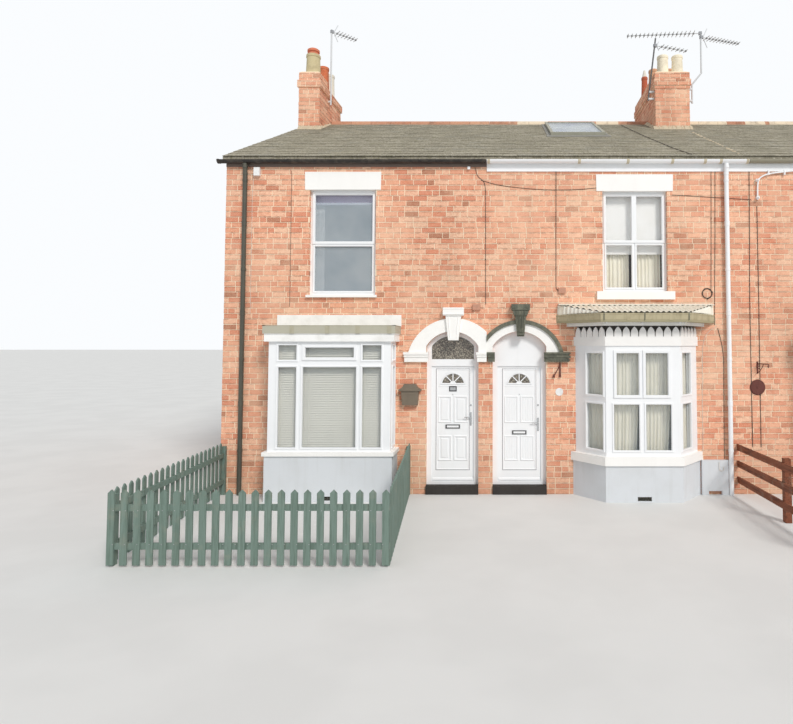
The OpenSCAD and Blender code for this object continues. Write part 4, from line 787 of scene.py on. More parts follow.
def stack_faces(m, x0, w, skew, back, out, z0, z1, seed):
    """Bricks on the four faces of one step of a stack; its sides stop at the roof."""
    fy, by = STACK_Y - out, back + out

    def edge(y, right):
        return x0 + skew * (y - STACK_Y) + (w + out if right else -out)

    def lay(to3, u0, u1, n, lines=()):
        bricks(m, to3, u0, u1, z0, z1, lines=lines, seed=seed + n, header=0.3)

    lay(street(fy), edge(fy, False), edge(fy, True), 0)
    lay(garden(by), -edge(by, True), -edge(by, False), 1)
    for right in (True, False):
        p, q = (edge(fy, right), fy), (edge(by, right), by)
        if not right:
            p, q = q, p
        for front in (True, False):
            # The roof's height along the face, and the ridge as the end of either half
            s = 1.0 if front == right else -1.0
            rise = SLOPE * (p[1] if front else DEPTH - p[1])
            lay(upright(p, q), 0.0, math.dist(p, q), 2 if right else 3,
                [(s * SLOPE, -1.0, -(EAVES + SLOPE_TOP + rise)),
                 (s, 0.0, s * abs(RIDGE_Y - p[1]))])


def lay_stacks():
    foot = EAVES + SLOPE * STACK_Y
    left, right = (LEFT_X, LEFT_W, SKEW), (RIGHT_X, RIGHT_W, 0.0, RIGHT_END)
    for side, steps in (
            ("left", ((*left, LEFT_END, 0.0, foot, 8.205, 31),
                      (*left, LEFT_END, 0.028, 8.205, 8.36, 35),
                      (*left, LEFT_FORE, 0.0, 8.36, 8.535, 38))),
            ("right", ((*right, 0.0, foot, 8.18, 41), (*right, 0.014, 8.18, 8.242, 45),
                       (*right, 0.028, 8.242, 8.383, 48), (*right, 0.006, 8.383, 8.535, 52)))):
        m = Mesh()
        for one in steps:
            stack_faces(m, *one)
        piece("chimney_bricks_" + side, m, ["stack_brick"])


def on_slope(u, v, d, front=True):
    """A place on the slates' bed: v up the slope from the eaves, d out of it."""
    y = -EAVES_OUT + v * COSP - d * SINP
    z = EAVES - SLOPE * EAVES_OUT + SLOPE_TOP + v * SINP + d * COSP
    return at(u, y, z) if front else at(u, DEPTH - y, z)


def up(y):
    """How far up the front slope a depth y lies."""
    return (y + EAVES_OUT) / COSP


def lay_slates():
    length, x0, x1 = up(RIDGE_Y), RIGHT_X, RIGHT_X + RIGHT_W
    for front in (True, False):
        m = Mesh()
        rng = random.Random(41 if front else 43)
        if front:
            holes = [(x0, x1, up(STACK_Y), 9), (-1, LEFT_X + LEFT_W + 0.02, up(STACK_Y), 9),
                     (*SKYLIGHT[:2], *map(up, SKYLIGHT[2:]))]
        else:
            holes = [(x0, x1, up(DEPTH - RIGHT_END), 9),
                     (-1, LEFT_X + LEFT_W + 0.067, up(DEPTH - LEFT_END), 9)]
        for k in range(int(length / GAUGE) + 1):
            v0 = k * GAUGE - (0.02 if k == 0 else 0)
            v1 = min(v0 + GAUGE + LAP, length)
            if v1 - v0 < 0.03:
                continue
            u = -0.2 - (SLATE_W / 2 if k % 2 else 0)
            y = -EAVES_OUT + v0 * COSP
            left = SKEW * (y if front else DEPTH - y) - 0.04
            while u < ROW_END:
                w = SLATE_W + rng.uniform(-0.006, 0.006)
                a, b = max(u + 0.0015, left), min(u + w - 0.0015, ROW_END)
                u += w
                if b - a < 0.03:
                    continue
                slip = rng.uniform(-0.005, 0.005)
                lift = rng.uniform(0.0, 0.003)
                rects = [(a, b, v0 + slip, v1)]
                for h in holes:
                    rects = less(rects, h)
                for s0, s1, t0, t1 in rects:
                    if s1 - s0 < 0.02 or t1 - t0 < 0.05:
                        continue
                    face = [(s, t, 0.014 + lift - 0.010 * (t - v0) / (GAUGE + LAP))
                            for s, t in rect(s0, s1, t0, t1)]
                    m.solid([on_slope(s, t, d - SLATE_T, front) for s, t, d in face],
                            [on_slope(s, t, d, front) for s, t, d in face])
        piece("slates_front" if front else "slates_rear", m, ["slate"])


def fillets():
    """Mortar fillets where the slates meet the stacks, and the skylight's flashings."""
    rng = random.Random(61)
    m = Mesh()
    foot, ridge = up(STACK_Y), up(RIDGE_Y) - 0.1

    def wedge(to3, a, b, n, edge, s, reach, climb, tuck=0.0):
        """From a to b in n lengths: it reaches out from the edge and climbs up it."""
        for p, q in spans(a, b, n):
            wob = rng.uniform(0.8, 1.15)
            m.rail(to3, p, q, [(0.012, edge - s * reach * wob), (0.012, edge + tuck),
                               (climb * wob, edge + tuck)])

    def across(u, v, d):
        return on_slope(v, u, d)

    for a, b in ((LEFT_X, LEFT_X + LEFT_W + 0.07), (RIGHT_X - 0.05, RIGHT_X + RIGHT_W + 0.05)):
        wedge(on_slope, a, b, int(foot / 0.12), foot, 1, 0.085, 0.075, 0.03)
    for u, s in ((RIGHT_X, 1), (RIGHT_X + RIGHT_W, -1), (LEFT_X + LEFT_W, -1)):
        wedge(across, foot, ridge, int((ridge - foot) / 0.12), u, s, 0.065, 0.06)
    piece("roof_fillets", m, ["fillet"])

    m = Mesh()
    x0, x1, y0, y1 = SKYLIGHT
    for a, b, c, d, t in ((x0 - 0.09, x1 + 0.09, up(y0) - 0.15, up(y0), 0.024),
                          (x0 - 0.07, x0, up(y0), up(y1) + 0.02, 0.026),
                          (x1, x1 + 0.07, up(y0), up(y1) + 0.02, 0.026),
                          (x0 - 0.07, x1 + 0.07, up(y1), up(y1) + 0.08, 0.028)):
        for p, q in spans(a, b, 8):
            m.slab(on_slope, rect(p, q, c, d), 0.012, t + rng.uniform(-0.003, 0.003))
    piece("skylight_flashing", m, ["lead"])


def roof_lines():
    """A cable that lies down the slates from the right stack, and a mortar line beside it."""
    m = Mesh()
    m.tube([on_slope(u, v, 0.024) for u, v in ((7.42, 4.18), (7.47, 3.5), (7.53, 2.6),
                                               (7.61, 1.8), (7.73, 0.72), (7.86, 0.05))], 0.006)
    piece("roof_cable", m, ["cable_dark"])

    m = Mesh()
    rng = random.Random(64)
    a, b, dabs = (8.72, 2.95), (8.70, 0.15), 19
    for j in range(dabs):
        t = (j + rng.uniform(0.1, 0.7)) / dabs
        u, v = a[0] + (b[0] - a[0]) * t, a[1] + (b[1] - a[1]) * t
        r, q = rng.uniform(0.02, 0.045), rng.uniform(0.018, 0.03)
        low = [(u + r * x, v + q * y) for x, y in arc(0, 0, 1, 6, 0.3, 0.3 + 2 * math.pi)[:-1]]
        m.slab(on_slope, low, 0.012, 0.024,
               top=[(u + 0.7 * (x - u), v + 0.7 * (y - v)) for x, y in low])
    piece("roof_mortar_line", m, ["fillet"])


# Windows: glazing beads, blinds and curtains -----------------------------------------

# A bead's outline: how far in over the light, how far out of the frame's face
BEAD = [(-0.018, -0.003), (-0.018, 0.010), (-0.013, 0.014), (0.004, 0.014), (0.013, 0.005),
        (0.013, -0.023), (0.0, -0.023), (0.0, -0.003)]
SASH = [(-0.036, -0.003), (-0.036, 0.015), (-0.030, 0.020), (0.004, 0.020), (0.013, 0.008),
        (0.013, -0.023), (0.0, -0.023), (0.0, -0.003)]

# The bays' lights, as foot and head
BOX_LOW, BOX_TOP = (0.830, 2.118), (2.211, 2.467)
CANT_LOW, CANT_HIGH = (0.789, 1.530), (1.656, 2.340)
# The canted bay's side faces, from the wall to the front corner, and their lights
CANT_L = ((BAY_CX[1] - CANT_HALF, 0.0), (BAY_CX[1] - CANT_FRONT, -CANT_PROJ))
CANT_R = ((BAY_CX[1] + CANT_FRONT, -CANT_PROJ), (BAY_CX[1] + CANT_HALF, 0.0))
CANT_SIDE, CANT_LIGHT = math.dist(*CANT_L), (0.240, 0.603)


def ring(mesh, to3, a, b, c, d, profile=BEAD, m=0):
    """A moulding mitred round the rectangle a to b by c to d."""
    mesh.carry([[to3(u + su * p, v + sv * p, o) for p, o in profile] for (u, v), (su, sv)
                in zip(rect(a, b, c, d), rect(1, -1, 1, -1))], m, closed=True)


def window_lights(i):
    cx, w, z, h = WINS[i][:4]
    us = [STILE, w / 2 - STILE / 2, w / 2 + STILE / 2, w - STILE] if i == 1 else [STILE, w - STILE]
    vs = [STILE, 0.49 * h - STILE / 2, 0.49 * h + STILE / 2, h - STILE]
    return [(cx - w / 2 + us[a], cx - w / 2 + us[a + 1], z + vs[b], z + vs[b + 1])
            for a in range(0, len(us), 2) for b in (0, 2)]


def beads():
    m = Mesh()
    for i in range(3):
        for k, light in enumerate(window_lights(i)):
            ring(m, street(BACK), *light, SASH if k % 2 else BEAD)
    half, side = STILE / 2, REAR_HALF - STILE
    for cx, z, h in REAR_WINS:
        for a, b in ((-side, -half), (half, side)):
            for c, d in ((STILE, h / 2 - half), (h / 2 + half, h - STILE)):
                ring(m, garden(DEPTH - BACK), -cx + a, -cx + b, z + c, z + d)
    piece("window_beads", m, ["upvc"])

    m = Mesh()
    face = street(-BOX_PROJ)
    for cx in BOX_CX:
        sides = ((-0.832, -0.518), (0.507, 0.832))
        for a, b in (sides[0], (-0.441, 0.432), sides[1]):
            ring(m, face, cx + a, cx + b, *BOX_LOW)
        for a, b in sides:
            ring(m, face, cx + a, cx + b, *BOX_TOP)
        ring(m, face, cx - 0.403, cx + 0.394, BOX_TOP[0] + 0.038, BOX_TOP[1] - 0.038, SASH)
        left, right = cx - BOX_HALF, cx + BOX_HALF
        for light in (BOX_LOW, BOX_TOP):
            ring(m, upright((left, 0), (left, -BOX_PROJ)), 0.12, 0.35, *light)
            ring(m, upright((right, -BOX_PROJ), (right, 0)), BOX_PROJ - 0.35, BOX_PROJ - 0.12,
                 *light)
    face, cx, (u0, u1) = street(-CANT_PROJ), BAY_CX[1], CANT_LIGHT
    for a, b in ((-0.476, -0.053), (0.031, 0.452)):
        ring(m, face, cx + a, cx + b, *CANT_LOW)
    for a, b in ((-0.431, -0.056), (0.032, 0.405)):
        ring(m, face, cx + a, cx + b, *CANT_HIGH, SASH)
    for light in (CANT_LOW, CANT_HIGH):
        ring(m, upright(*CANT_L), u0, u1, *light)
        ring(m, upright(*CANT_R), CANT_SIDE - u1, CANT_SIDE - u0, *light)
    piece("bay_beads", m, ["upvc"])


def slat_blind(m, p, q, z0, z1):
    """A venetian blind on the plan line p to q, with its rails and ladder tapes."""
    to3, w = upright(p, q), math.dist(p, q)
    bow = [(-0.0105, 0.0198), (-0.0050, 0.0072), (0.0038, -0.0072), (0.0105, -0.0198)]
    slat = bow + [(o, h - 0.0009) for o, h in reversed(bow)]
    z = z0 + 0.035
    while z < z1 - 0.04:
        m.rail(to3, 0.0, w, [(o, z + h) for o, h in slat])
        z += 0.038
    for c, d in ((z0, z0 + 0.02), (z1 - 0.032, z1)):
        m.rail(to3, 0.0, w, [(-0.013, c), (0.013, c), (0.013, d - 0.004), (0.009, d),
                             (-0.009, d), (-0.013, d - 0.004)])
    for u in (0.12 * w, 0.88 * w):
        m.rail(to3, u - 0.004, u + 0.004, rect(0.0121, 0.0129, z0, z1))


def blinds():
    y, side = -BOX_PROJ + 0.12, BOX_HALF - 0.11
    for k, cx in enumerate(BOX_CX):
        m = Mesh()
        runs = [((cx + a, y), (cx + b, y)) for a, b in ((-0.86, -0.49), (-0.47, 0.46),
                                                        (0.48, 0.86))]
        runs += [((cx - side, -0.05), (cx - side, y + 0.03)),
                 ((cx + side, y + 0.03), (cx + side, -0.05))]
        for p, q in runs:
            slat_blind(m, p, q, 0.785, 2.495)
        piece("bay_blinds_%d" % (k + 1), m, ["slats"])


def curtain(name, mat, p, q, z0, z1, fold, pitch, seed, sweep=0.0):
    """A gathered sheet over the plan line p to q. sweep draws its foot along the line."""
    rng = random.Random(seed)
    to3, w = upright(p, q), math.dist(p, q)
    waves = max(2, round(w / pitch))
    cols, rows = waves * 10, 14
    phase = [rng.uniform(-0.25, 0.25) for _ in range(waves + 2)]
    deep = [rng.uniform(0.6, 1.0) for _ in range(waves + 2)]
    m = Mesh()
    for r in range(rows + 1):
        t = r / rows
        for c in range(cols + 1):
            s = c / cols
            k = int(s * waves)
            f = s * waves - k
            size = deep[k] * (1 - f) + deep[k + 1] * f
            turn = s * waves + phase[k] * (1 - f) + phase[k + 1] * f
            d = fold * size * (0.55 + 0.45 * (1 - t)) * math.sin(2 * math.pi * turn)
            u = w * s + sweep * (1 - t) ** 2 * s
            m.v.append(to3(min(u, w), z0 + (z1 - z0) * t, d))
    k = cols + 1
    m.f = [[i, i + 1, i + k + 1, i + k] for i in range(rows * k) if i % k < cols]
    m.m = [0] * len(m.f)
    ob = piece(name, m, [mat], smooth=True)


def roller(name, mat, x0, x1, y, z0, z1):
    """A roller blind: its tube with the rest of the cloth wound on it, and what hangs."""
    m = Mesh()
    m.tube([at(x0, y + 0.02, z1), at(x1, y + 0.02, z1)], 0.019, 16)
    for x in (x0 - 0.012, x1 + 0.002):
        m.box(x, x + 0.01, y - 0.008, y + 0.045, z1 - 0.03, z1 + 0.032)
    m.box(x0, x1, y - 0.007, y + 0.007, z0 - 0.022, z0 + 0.001)
    bar = piece(name + "_tube", m, [mat])
    m, n = Mesh(), 8
    for a, b in spans(z0, z1, n):
        m.v += [at(x, y, z) for x, z in rect(x0, x1, a, b)]
    m.f = [[4 * j + k for k in range(4)] for j in range(n)]
    m.m = [0] * n
    ob = piece(name, m, [mat])


def soft_goods():
    """A roller blind and a pair of curtains behind it in each upper window, and the
    canted bay's four curtains."""
    y = BACK + FRAME + 0.045
    for number, (cx, w, z, h, *_), blind, cloth, fold, pitch, seed in (
            (1, WINS[0], "lilac", "net", 0.018, 0.055, 70),
            (2, WINS[2], "lilac", "net", 0.018, 0.055, 72),
            (3, WINS[1], "white_cloth", "cream_cloth", 0.02, 0.062, 80)):
        a, b = cx - w / 2 + 0.03, cx + w / 2 - 0.03
        foot, pair = h - 0.195, ((a - 0.02, a + 0.15), (b - 0.06, b + 0.03))
        if number == 3:
            foot, pair = 0.49 * h - 0.16, ((a, cx - 0.055), (cx + 0.03, b - 0.03))
        roller("roller_blind_%d" % number, blind, a, b, y, z + foot, z + h - 0.05)
        for j, (u0, u1) in enumerate(pair):
            curtain("upper_curtain_%d_%d" % (number, j + 1), cloth, (u0, y + 0.07),
                    (u1, y + 0.07), z + 0.01, z + h - 0.03, fold, pitch,
                    seed + j)
    cx, yf = BAY_CX[1], -CANT_PROJ + 0.16
    for j, (a, ya, b, yb, sweep) in enumerate((
            (-0.86, -0.03, -0.52, yf - 0.02, 0.04), (-0.50, yf, -0.03, yf, -0.05),
            (0.02, yf, 0.48, yf, -0.06), (0.52, yf - 0.02, 0.86, -0.03, 0.0))):
        curtain("bay_curtain_%d" % (j + 1), "cream_cloth", (cx + a, ya), (cx + b, yb),
                0.72, 2.43, 0.024, 0.068, 90 + j, sweep)


# Hood, felt, gutters -----------------------------------------------------------------


def hood_line(d):
    """The canted bay's plan moved out by d: where it meets the wall, and its two corners."""
    turn = math.atan2(CANT_PROJ, CANT_HALF - CANT_FRONT)
    front = CANT_FRONT + d * math.tan(turn / 2)
    wall = CANT_HALF + d / math.sin(turn)
    return [(-wall, 0.0), (-front, -CANT_PROJ - d), (front, -CANT_PROJ - d), (wall, 0.0)]


def from_bay(x, y, z):
    """A place by the canted bay's middle."""
    return Vector(at(BAY_CX[1] + x, y, z))


def corrugated(m, rows, wave, d0, amp):
    """A sheet from rows of (foot, head, outward direction), wave rows to each wave."""
    rings = []
    for c, (foot, head, out) in enumerate(rows):
        d = out * (d0 + amp * math.sin(2 * math.pi * c / wave))
        t = out * 0.006
        rings.append([tuple(q) for q in (foot + d, head + d, head + d - t, foot + d - t)])
    m.carry(rings)


def hood():
    """The canted bay's hood: corrugated sheets over a body, a deep gutter round it."""
    body = Mesh()
    plan, half = hood_line(0.200), 1.28
    body.v = [tuple(from_bay(x, y, z)) for z in (2.872, 2.958) for x, y in plan]
    body.v += [tuple(from_bay(x, -0.001, 3.108)) for x in (-half, half)]
    body.f = [[3, 2, 1, 0], [0, 1, 5, 4], [1, 2, 6, 5], [2, 3, 7, 6], [5, 6, 9, 8], [4, 5, 8],
              [6, 7, 9], [0, 4, 8, 9, 7, 3]]
    body.m = [0] * len(body.f)
    piece("hood_body", body, ["fibre"])

    m = Mesh()
    per, wave, half = 8, 0.086, 1.29
    _, (_, fy), (corner, _), (wall, _) = hood_line(0.222)
    fz, ty, tz = 2.970, -0.012, 3.122
    slope = Vector((0, ty - fy, tz - fz))
    out = Vector((0, fz - tz, ty - fy)).normalized()
    rows = []
    for u in [a for a, _ in spans(-half, half, round(2 * half / wave) * per)] + [half]:
        # The front sheet's foot climbs along the hips beyond the corners
        t = max(0.0, (abs(u) - corner) / (half - corner))
        rows.append((from_bay(u, fy, fz) + slope * min(t, 0.985), from_bay(u, ty, tz), out))
    corrugated(m, rows, per, 0.014, 0.012)
    for s in (-1, 1):
        a, b = from_bay(s * corner, fy, fz), from_bay(s * wall, -0.004, fz)
        head = from_bay(s * half, ty, tz)
        out = (b - a).cross(Vector((0, 0, 1))).normalized() * s
        n = round((b - a).length / wave) * per
        rows = [(a.lerp(b, c / n), a.lerp(head, c / n) + out * 0.002, out) for c in range(n + 1)]
        corrugated(m, rows, per, 0.010, 0.008)
    # Head flashing in five lengths, dressed down over the sheets
    sec = [(-0.001, 3.150), (-0.010, 3.152), (-0.026, 3.146), (-0.130, 3.124), (-0.130, 3.118),
           (-0.024, 3.140), (-0.001, 3.142)]
    for a, b in spans(-half, half, 5):
        m.solid([from_bay(a, y, z) for y, z in sec],
                [from_bay(min(b + 0.012, half), y, z) for y, z in sec], 1)
    piece("hood_sheets", m, ["fibre", "fibre"])

    # The gutter: one moulded outline carried round the three sides
    m = Mesh()
    m.carry([[tuple(from_bay(*hood_line(d)[s], z)) for d, z in (
        (0.196, 2.850), (0.236, 2.847), (0.243, 2.856), (0.243, 2.932), (0.248, 2.942),
        (0.248, 2.957), (0.240, 2.957), (0.236, 2.944), (0.236, 2.864), (0.196, 2.862))]
        for s in range(4)])
    # Its clips, unions and the brackets under it: places, width, depths out, heights
    for places, w, out, near, z0, z1, mat in (
            ((-0.658, -0.025, 0.660), 0.014, 0.251, 0.19, 2.845, 2.959, 2),
            ((-0.30, 0.36), 0.05, 0.246, 0.20, 2.8455, 2.95, 0),
            ((-0.60, -0.04, 0.55), 0.02, 0.16, 0.105, 2.80, 2.848, 1),
            ((-0.60, -0.04, 0.55), 0.02, 0.22, 0.15, 2.838, 2.848, 1)):
        for x in places:
            x += BAY_CX[1]
            m.box(x, x + w, -CANT_PROJ - out, -CANT_PROJ - near, z0, z1, mat)
    piece("hood_gutter", m, ["olive", "upvc", "dark_paint"])


def felt_strips():
    """Laps and edges of the box bays' felt."""
    f, e = -BOX_PROJ - 0.078, BOX_HALF + 0.078
    for k, cx in enumerate(BOX_CX):
        m = Mesh()
        for x in (-0.62, -0.06, 0.42, 0.92):
            m.box(cx + x, cx + x + 0.07, f - 0.004, f + 0.02, 2.640, 2.768)
            m.box(cx + x, cx + x + 0.07, f + 0.02, -0.031, 2.764, 2.768)
        for x in (cx - e - 0.004, cx + e - 0.05):
            m.box(x, x + 0.054, f - 0.004, -0.001, 2.7645, 2.773)
        m.box(cx - e - 0.004, cx + e + 0.004, f - 0.004, f + 0.045, 2.7645, 2.772)
        piece("bay_roof_felt_%d" % (k + 1), m, ["felt"])


def sleeve(m, x0, x1, r0, r1, z=GUTTER_Z):
    """The lower half of a sleeve round the eaves gutter."""
    outer, inner = [arc(GUTTER_Y, z, GUTTER_R + r, 12, math.pi, 2 * math.pi) for r in (r1, r0)]
    pts = outer + inner[::-1]
    m.solid([at(x0, y, z) for y, z in pts], [at(x1, y, z) for y, z in pts])


def gutter_parts():
    m = Mesh()
    for x in (-0.118, 1.05, 2.35, 2.748, 3.378, 4.30, 9.9, 11.1, 12.3, 13.21):
        sleeve(m, x, x + 0.045, -0.001, 0.0035)
        sleeve(m, x + 0.004, x + 0.041, 0.003, 0.006, GUTTER_Z + 0.004)
    piece("gutter_joints_black", m, ["gutter_dark"])

    m = Mesh()
    for x in (4.41, 5.93, 6.745, 7.491, 8.038, 8.303, 8.75):
        sleeve(m, x, x + 0.045, -0.001, 0.0035)
    m.box(4.075, 4.12, -0.045, 0.0, 5.42, 5.465, 1)
    piece("gutter_joints_white", m, ["joint", "upvc"])

    m = Mesh()
    for x, mat in ((0.340, 1), (8.425, 0)):
        for z in (1.45, 2.95, 4.45):
            for a, b, e in ((z, z + 0.075, 0.0045), (z + 0.066, z + 0.08, 0.0065)):
                m.slab(at, arc(x, PIPE_Y, PIPE_R + e, 20)[:-1], a, b, mat)
    piece("downpipe_sockets", m, ["upvc", "black"])


# Cables, brackets and other small things ---------------------------------------------


def wall_run(m, r, pts, y=None, clips=0.55):
    """A cable of radius r fixed on the wall's face along (x, z) points, with its clips."""
    y = -0.006 - r if y is None else y
    path = []
    for p, q in zip(pts, pts[1:]):
        n = max(1, int(math.dist(p, q) / 0.25))
        path += [(p[0] + (q[0] - p[0]) * j / n, p[1] + (q[1] - p[1]) * j / n) for j in range(n)]
    path.append(pts[-1])
    m.tube([at(x, y, z) for x, z in path], r)
    run, half = 0.2, r + 0.003
    for (x, z), q in zip(path, path[1:]):
        run += math.dist((x, z), q)
        if run > clips:
            run = 0.0
            m.box(x - half, x + half, y - r - 0.0015, 0.0, z - 0.004, z + 0.004)


def soften(*pts):
    """Corner cutting, so that a cable bends instead of folding."""
    for _ in range(2):
        out = [pts[0]]
        for a, b in zip(pts, pts[1:]):
            out += [tuple(0.75 * s + 0.25 * t for s, t in zip(a, b)),
                    tuple(0.25 * s + 0.75 * t for s, t in zip(a, b))]
        pts = out + [pts[-1]]
    return pts


def cables():
    m = Mesh()
    few = {"clips": 1.2}
    for r, pts, how in (
            (0.004, soften((4.199, 5.46), (4.24, 5.30), (4.351, 5.23), (4.379, 5.10),
                           (4.379, 4.906)) + [(4.381, 3.14)], {}),
            (0.004, soften((4.30, 5.24), (4.622, 5.145), (5.298, 5.076), (5.89, 5.076),
                           (6.25, 5.11)), few),
            (0.0045, [(5.57, 5.44), (5.565, 4.5), (5.561, 3.50)]
             + soften((5.561, 3.465), (5.565, 3.39), (5.60, 3.375)), {}),
            (0.004, [(8.192, 5.44), (8.175, 4.3), (8.158, 3.36)], {}),
            (0.004, [(8.259, 5.44), (8.24, 4.3), (8.222, 3.5), (8.209, 2.794)], {}),
            (0.005, [(8.835, 5.44), (8.820, 4.3), (8.803, 3.2), (8.806, 0.771)], {}),
            (0.005, [(8.954, 4.80), (8.955, 3.213), (8.950, 2.2), (8.946, 0.771)], {}),
            (0.004, soften((8.259, 2.743), (8.329, 2.46), (8.352, 2.21), (8.345, 1.9))
             + [(8.335, 0.575)], {}),
            # The thin line down the left house's straight joint
            (0.0028, [(1.1, 5.40), (1.1, 4.2), (1.1, 3.10)], {"y": -0.004, "clips": 9}),
            (0.004, soften((7.53, 4.99), (8.1, 4.955), (8.5, 4.93), (8.86, 4.91)), few)):
        wall_run(m, r, pts, **how)
    # The spare length of the aerial cable, tied in a coil on the wall
    for k in range(3):
        m.tube([at(x, -0.012 - 0.007 * (k % 2), z)
                for x, z in arc(8.092, 3.322, 0.075 + 0.006 * k, 28)], 0.0035, 6)
    for x, z in ((8.05, 3.395), (8.10, 3.235), (8.175, 3.34)):
        m.box(x - 0.006, x + 0.006, -0.026, 0.0, z - 0.012, z + 0.012)
    piece("wall_cables_dark", m, ["cable_dark"])

    m = Mesh()
    wall_run(m, 0.0035, soften((8.246, 2.777), (8.133, 2.71), (8.041, 2.61), (8.000, 2.40))
             + [(7.984, 1.546), (7.984, 0.70)])
    wall_run(m, 0.004, soften((8.224, 0.54), (8.220, 0.42), (8.255, 0.385), (8.298, 0.40),
                              (8.298, 0.46)), y=-0.068, clips=9)
    wall_run(m, 0.0035, soften((0.46, 5.31), (0.44, 4.9), (0.445, 4.6)) + [(0.445, 2.98)])
    piece("wall_cables_pale", m, ["cable_pale"])

    m = Mesh()
    m.tube([at(x, -0.035, z) for x, z in soften(
        (9.62, 5.40), (9.438, 5.38), (9.132, 5.345), (9.0, 5.28), (8.962, 5.20),
        (8.957, 4.9))], 0.013, 12)
    for z in (5.235, 4.935):
        m.box(8.935, 8.985, -0.055, 0.0, z - 0.018, z + 0.018)
        m.stud(street(0), 8.96, z, 0.055, 0.078, 0.017, 12)
        m.stud(street(0), 8.96, z, 0.078, 0.094, 0.011, 12)
    for x in (9.15, 9.42):
        m.box(x - 0.01, x + 0.01, -0.051, 0.0, 5.325, 5.405)
    piece("cable_conduit", m, ["upvc"])


def ironwork():
    """The basket bracket and round plate at the right house, the bracket by the dark arch."""
    m = Mesh()
    face, x = street(-0.006), 8.905
    for d0, d1, r, sides in ((0.0, 0.006, 0.128, 40), (0.006, 0.014, 0.112, 40),
                             (0.014, 0.019, 0.02, 20)):
        m.stud(face, x, 1.756, d0, d1, r, sides)

    x = 8.912
    m.box(x - 0.013, x + 0.013, -0.012, 0.0, 1.985, 2.185)
    m.stud(face, x, 2.150, 0.004, 0.40, 0.007)
    m.tube([face(x, z, d) for d, z in ((0.004, 2.005), (0.07, 2.020), (0.16, 2.075),
                                       (0.23, 2.146))], 0.006)
    for d, z, r, turns, thick in ((0.400, 2.118, 0.032, -0.9, 0.006),
                                  (0.060, 2.095, 0.042, 1.2, 0.005)):
        scroll = []
        for j in range(25):
            t = j / 24
            a, q = 0.5 * math.pi + 2 * math.pi * turns * t, r * (1 - 0.72 * t)
            scroll.append(face(x, z + q * math.sin(a), d + q * math.cos(a)))
        m.tube(scroll, thick)
    for z in (2.00, 2.17):
        m.stud(face, x, z, 0.006, 0.011, 0.008, 10)

    x = 5.622
    m.box(x - 0.012, x + 0.012, -0.026, 0.0, 1.955, 2.170)
    m.tube([at(x, -0.030, 2.125), at(5.570, -0.034, 2.035), at(5.520, -0.030, 1.945)], 0.0075)
    for u, v in ((x, 1.950), (5.518, 1.940)):
        m.slab(at, rect(u - 0.010, u + 0.010, -0.036, 0.0), v + 0.03, v - 0.02,
               top=rect(u - 0.022, u + 0.018, -0.040, 0.0))
    m.stud(face, x, 2.150, 0.0, 0.05, 0.012, 12)
    piece("iron_brackets", m, ["rust"])


def vents():
    """Slotted covers in the bays' vents."""
    m = Mesh()
    for i, cx in enumerate(BAY_CX):
        y = -(CANT_PROJ if i == 1 else BOX_PROJ) - 0.015
        for x in mids(cx - 0.11, cx + 0.11, 9):
            m.box(x - 0.004, x + 0.004, y, y + 0.012, 0.018, 0.087)
        for z in (0.018, 0.05, 0.081):
            m.box(cx - 0.111, cx + 0.111, y + 0.003, y + 0.014, z, z + 0.006)
    piece("vent_covers", m, ["black"])


# Doors -------------------------------------------------------------------------------

# A leaf's front: its depth, half width and heights, and its fields; a letter plate's height
LEAF_Y, FACE_HALF, FACE_Z = 0.126, 0.268, (0.385, 2.045)
FIELDS = [(0.53, 0.94), (1.16, 1.60)]
LETTER_Z = (1.093, 0.995, 1.093)
MOULD = [(-0.011, 0.0), (-0.009, 0.005), (-0.002, 0.009), (0.004, 0.008), (0.011, 0.0),
         (0.011, -0.003), (-0.011, -0.003)]
PANEL = [(-0.012, -0.002), (-0.012, 0.003), (0.0, 0.011), (0.006, 0.011), (0.020, 0.004),
         (0.020, -0.002)]


def strip(a, b, d):
    """A flat strip's outline for ring()."""
    return [(a, -0.002), (a, d), (b, d), (b, -0.002)]


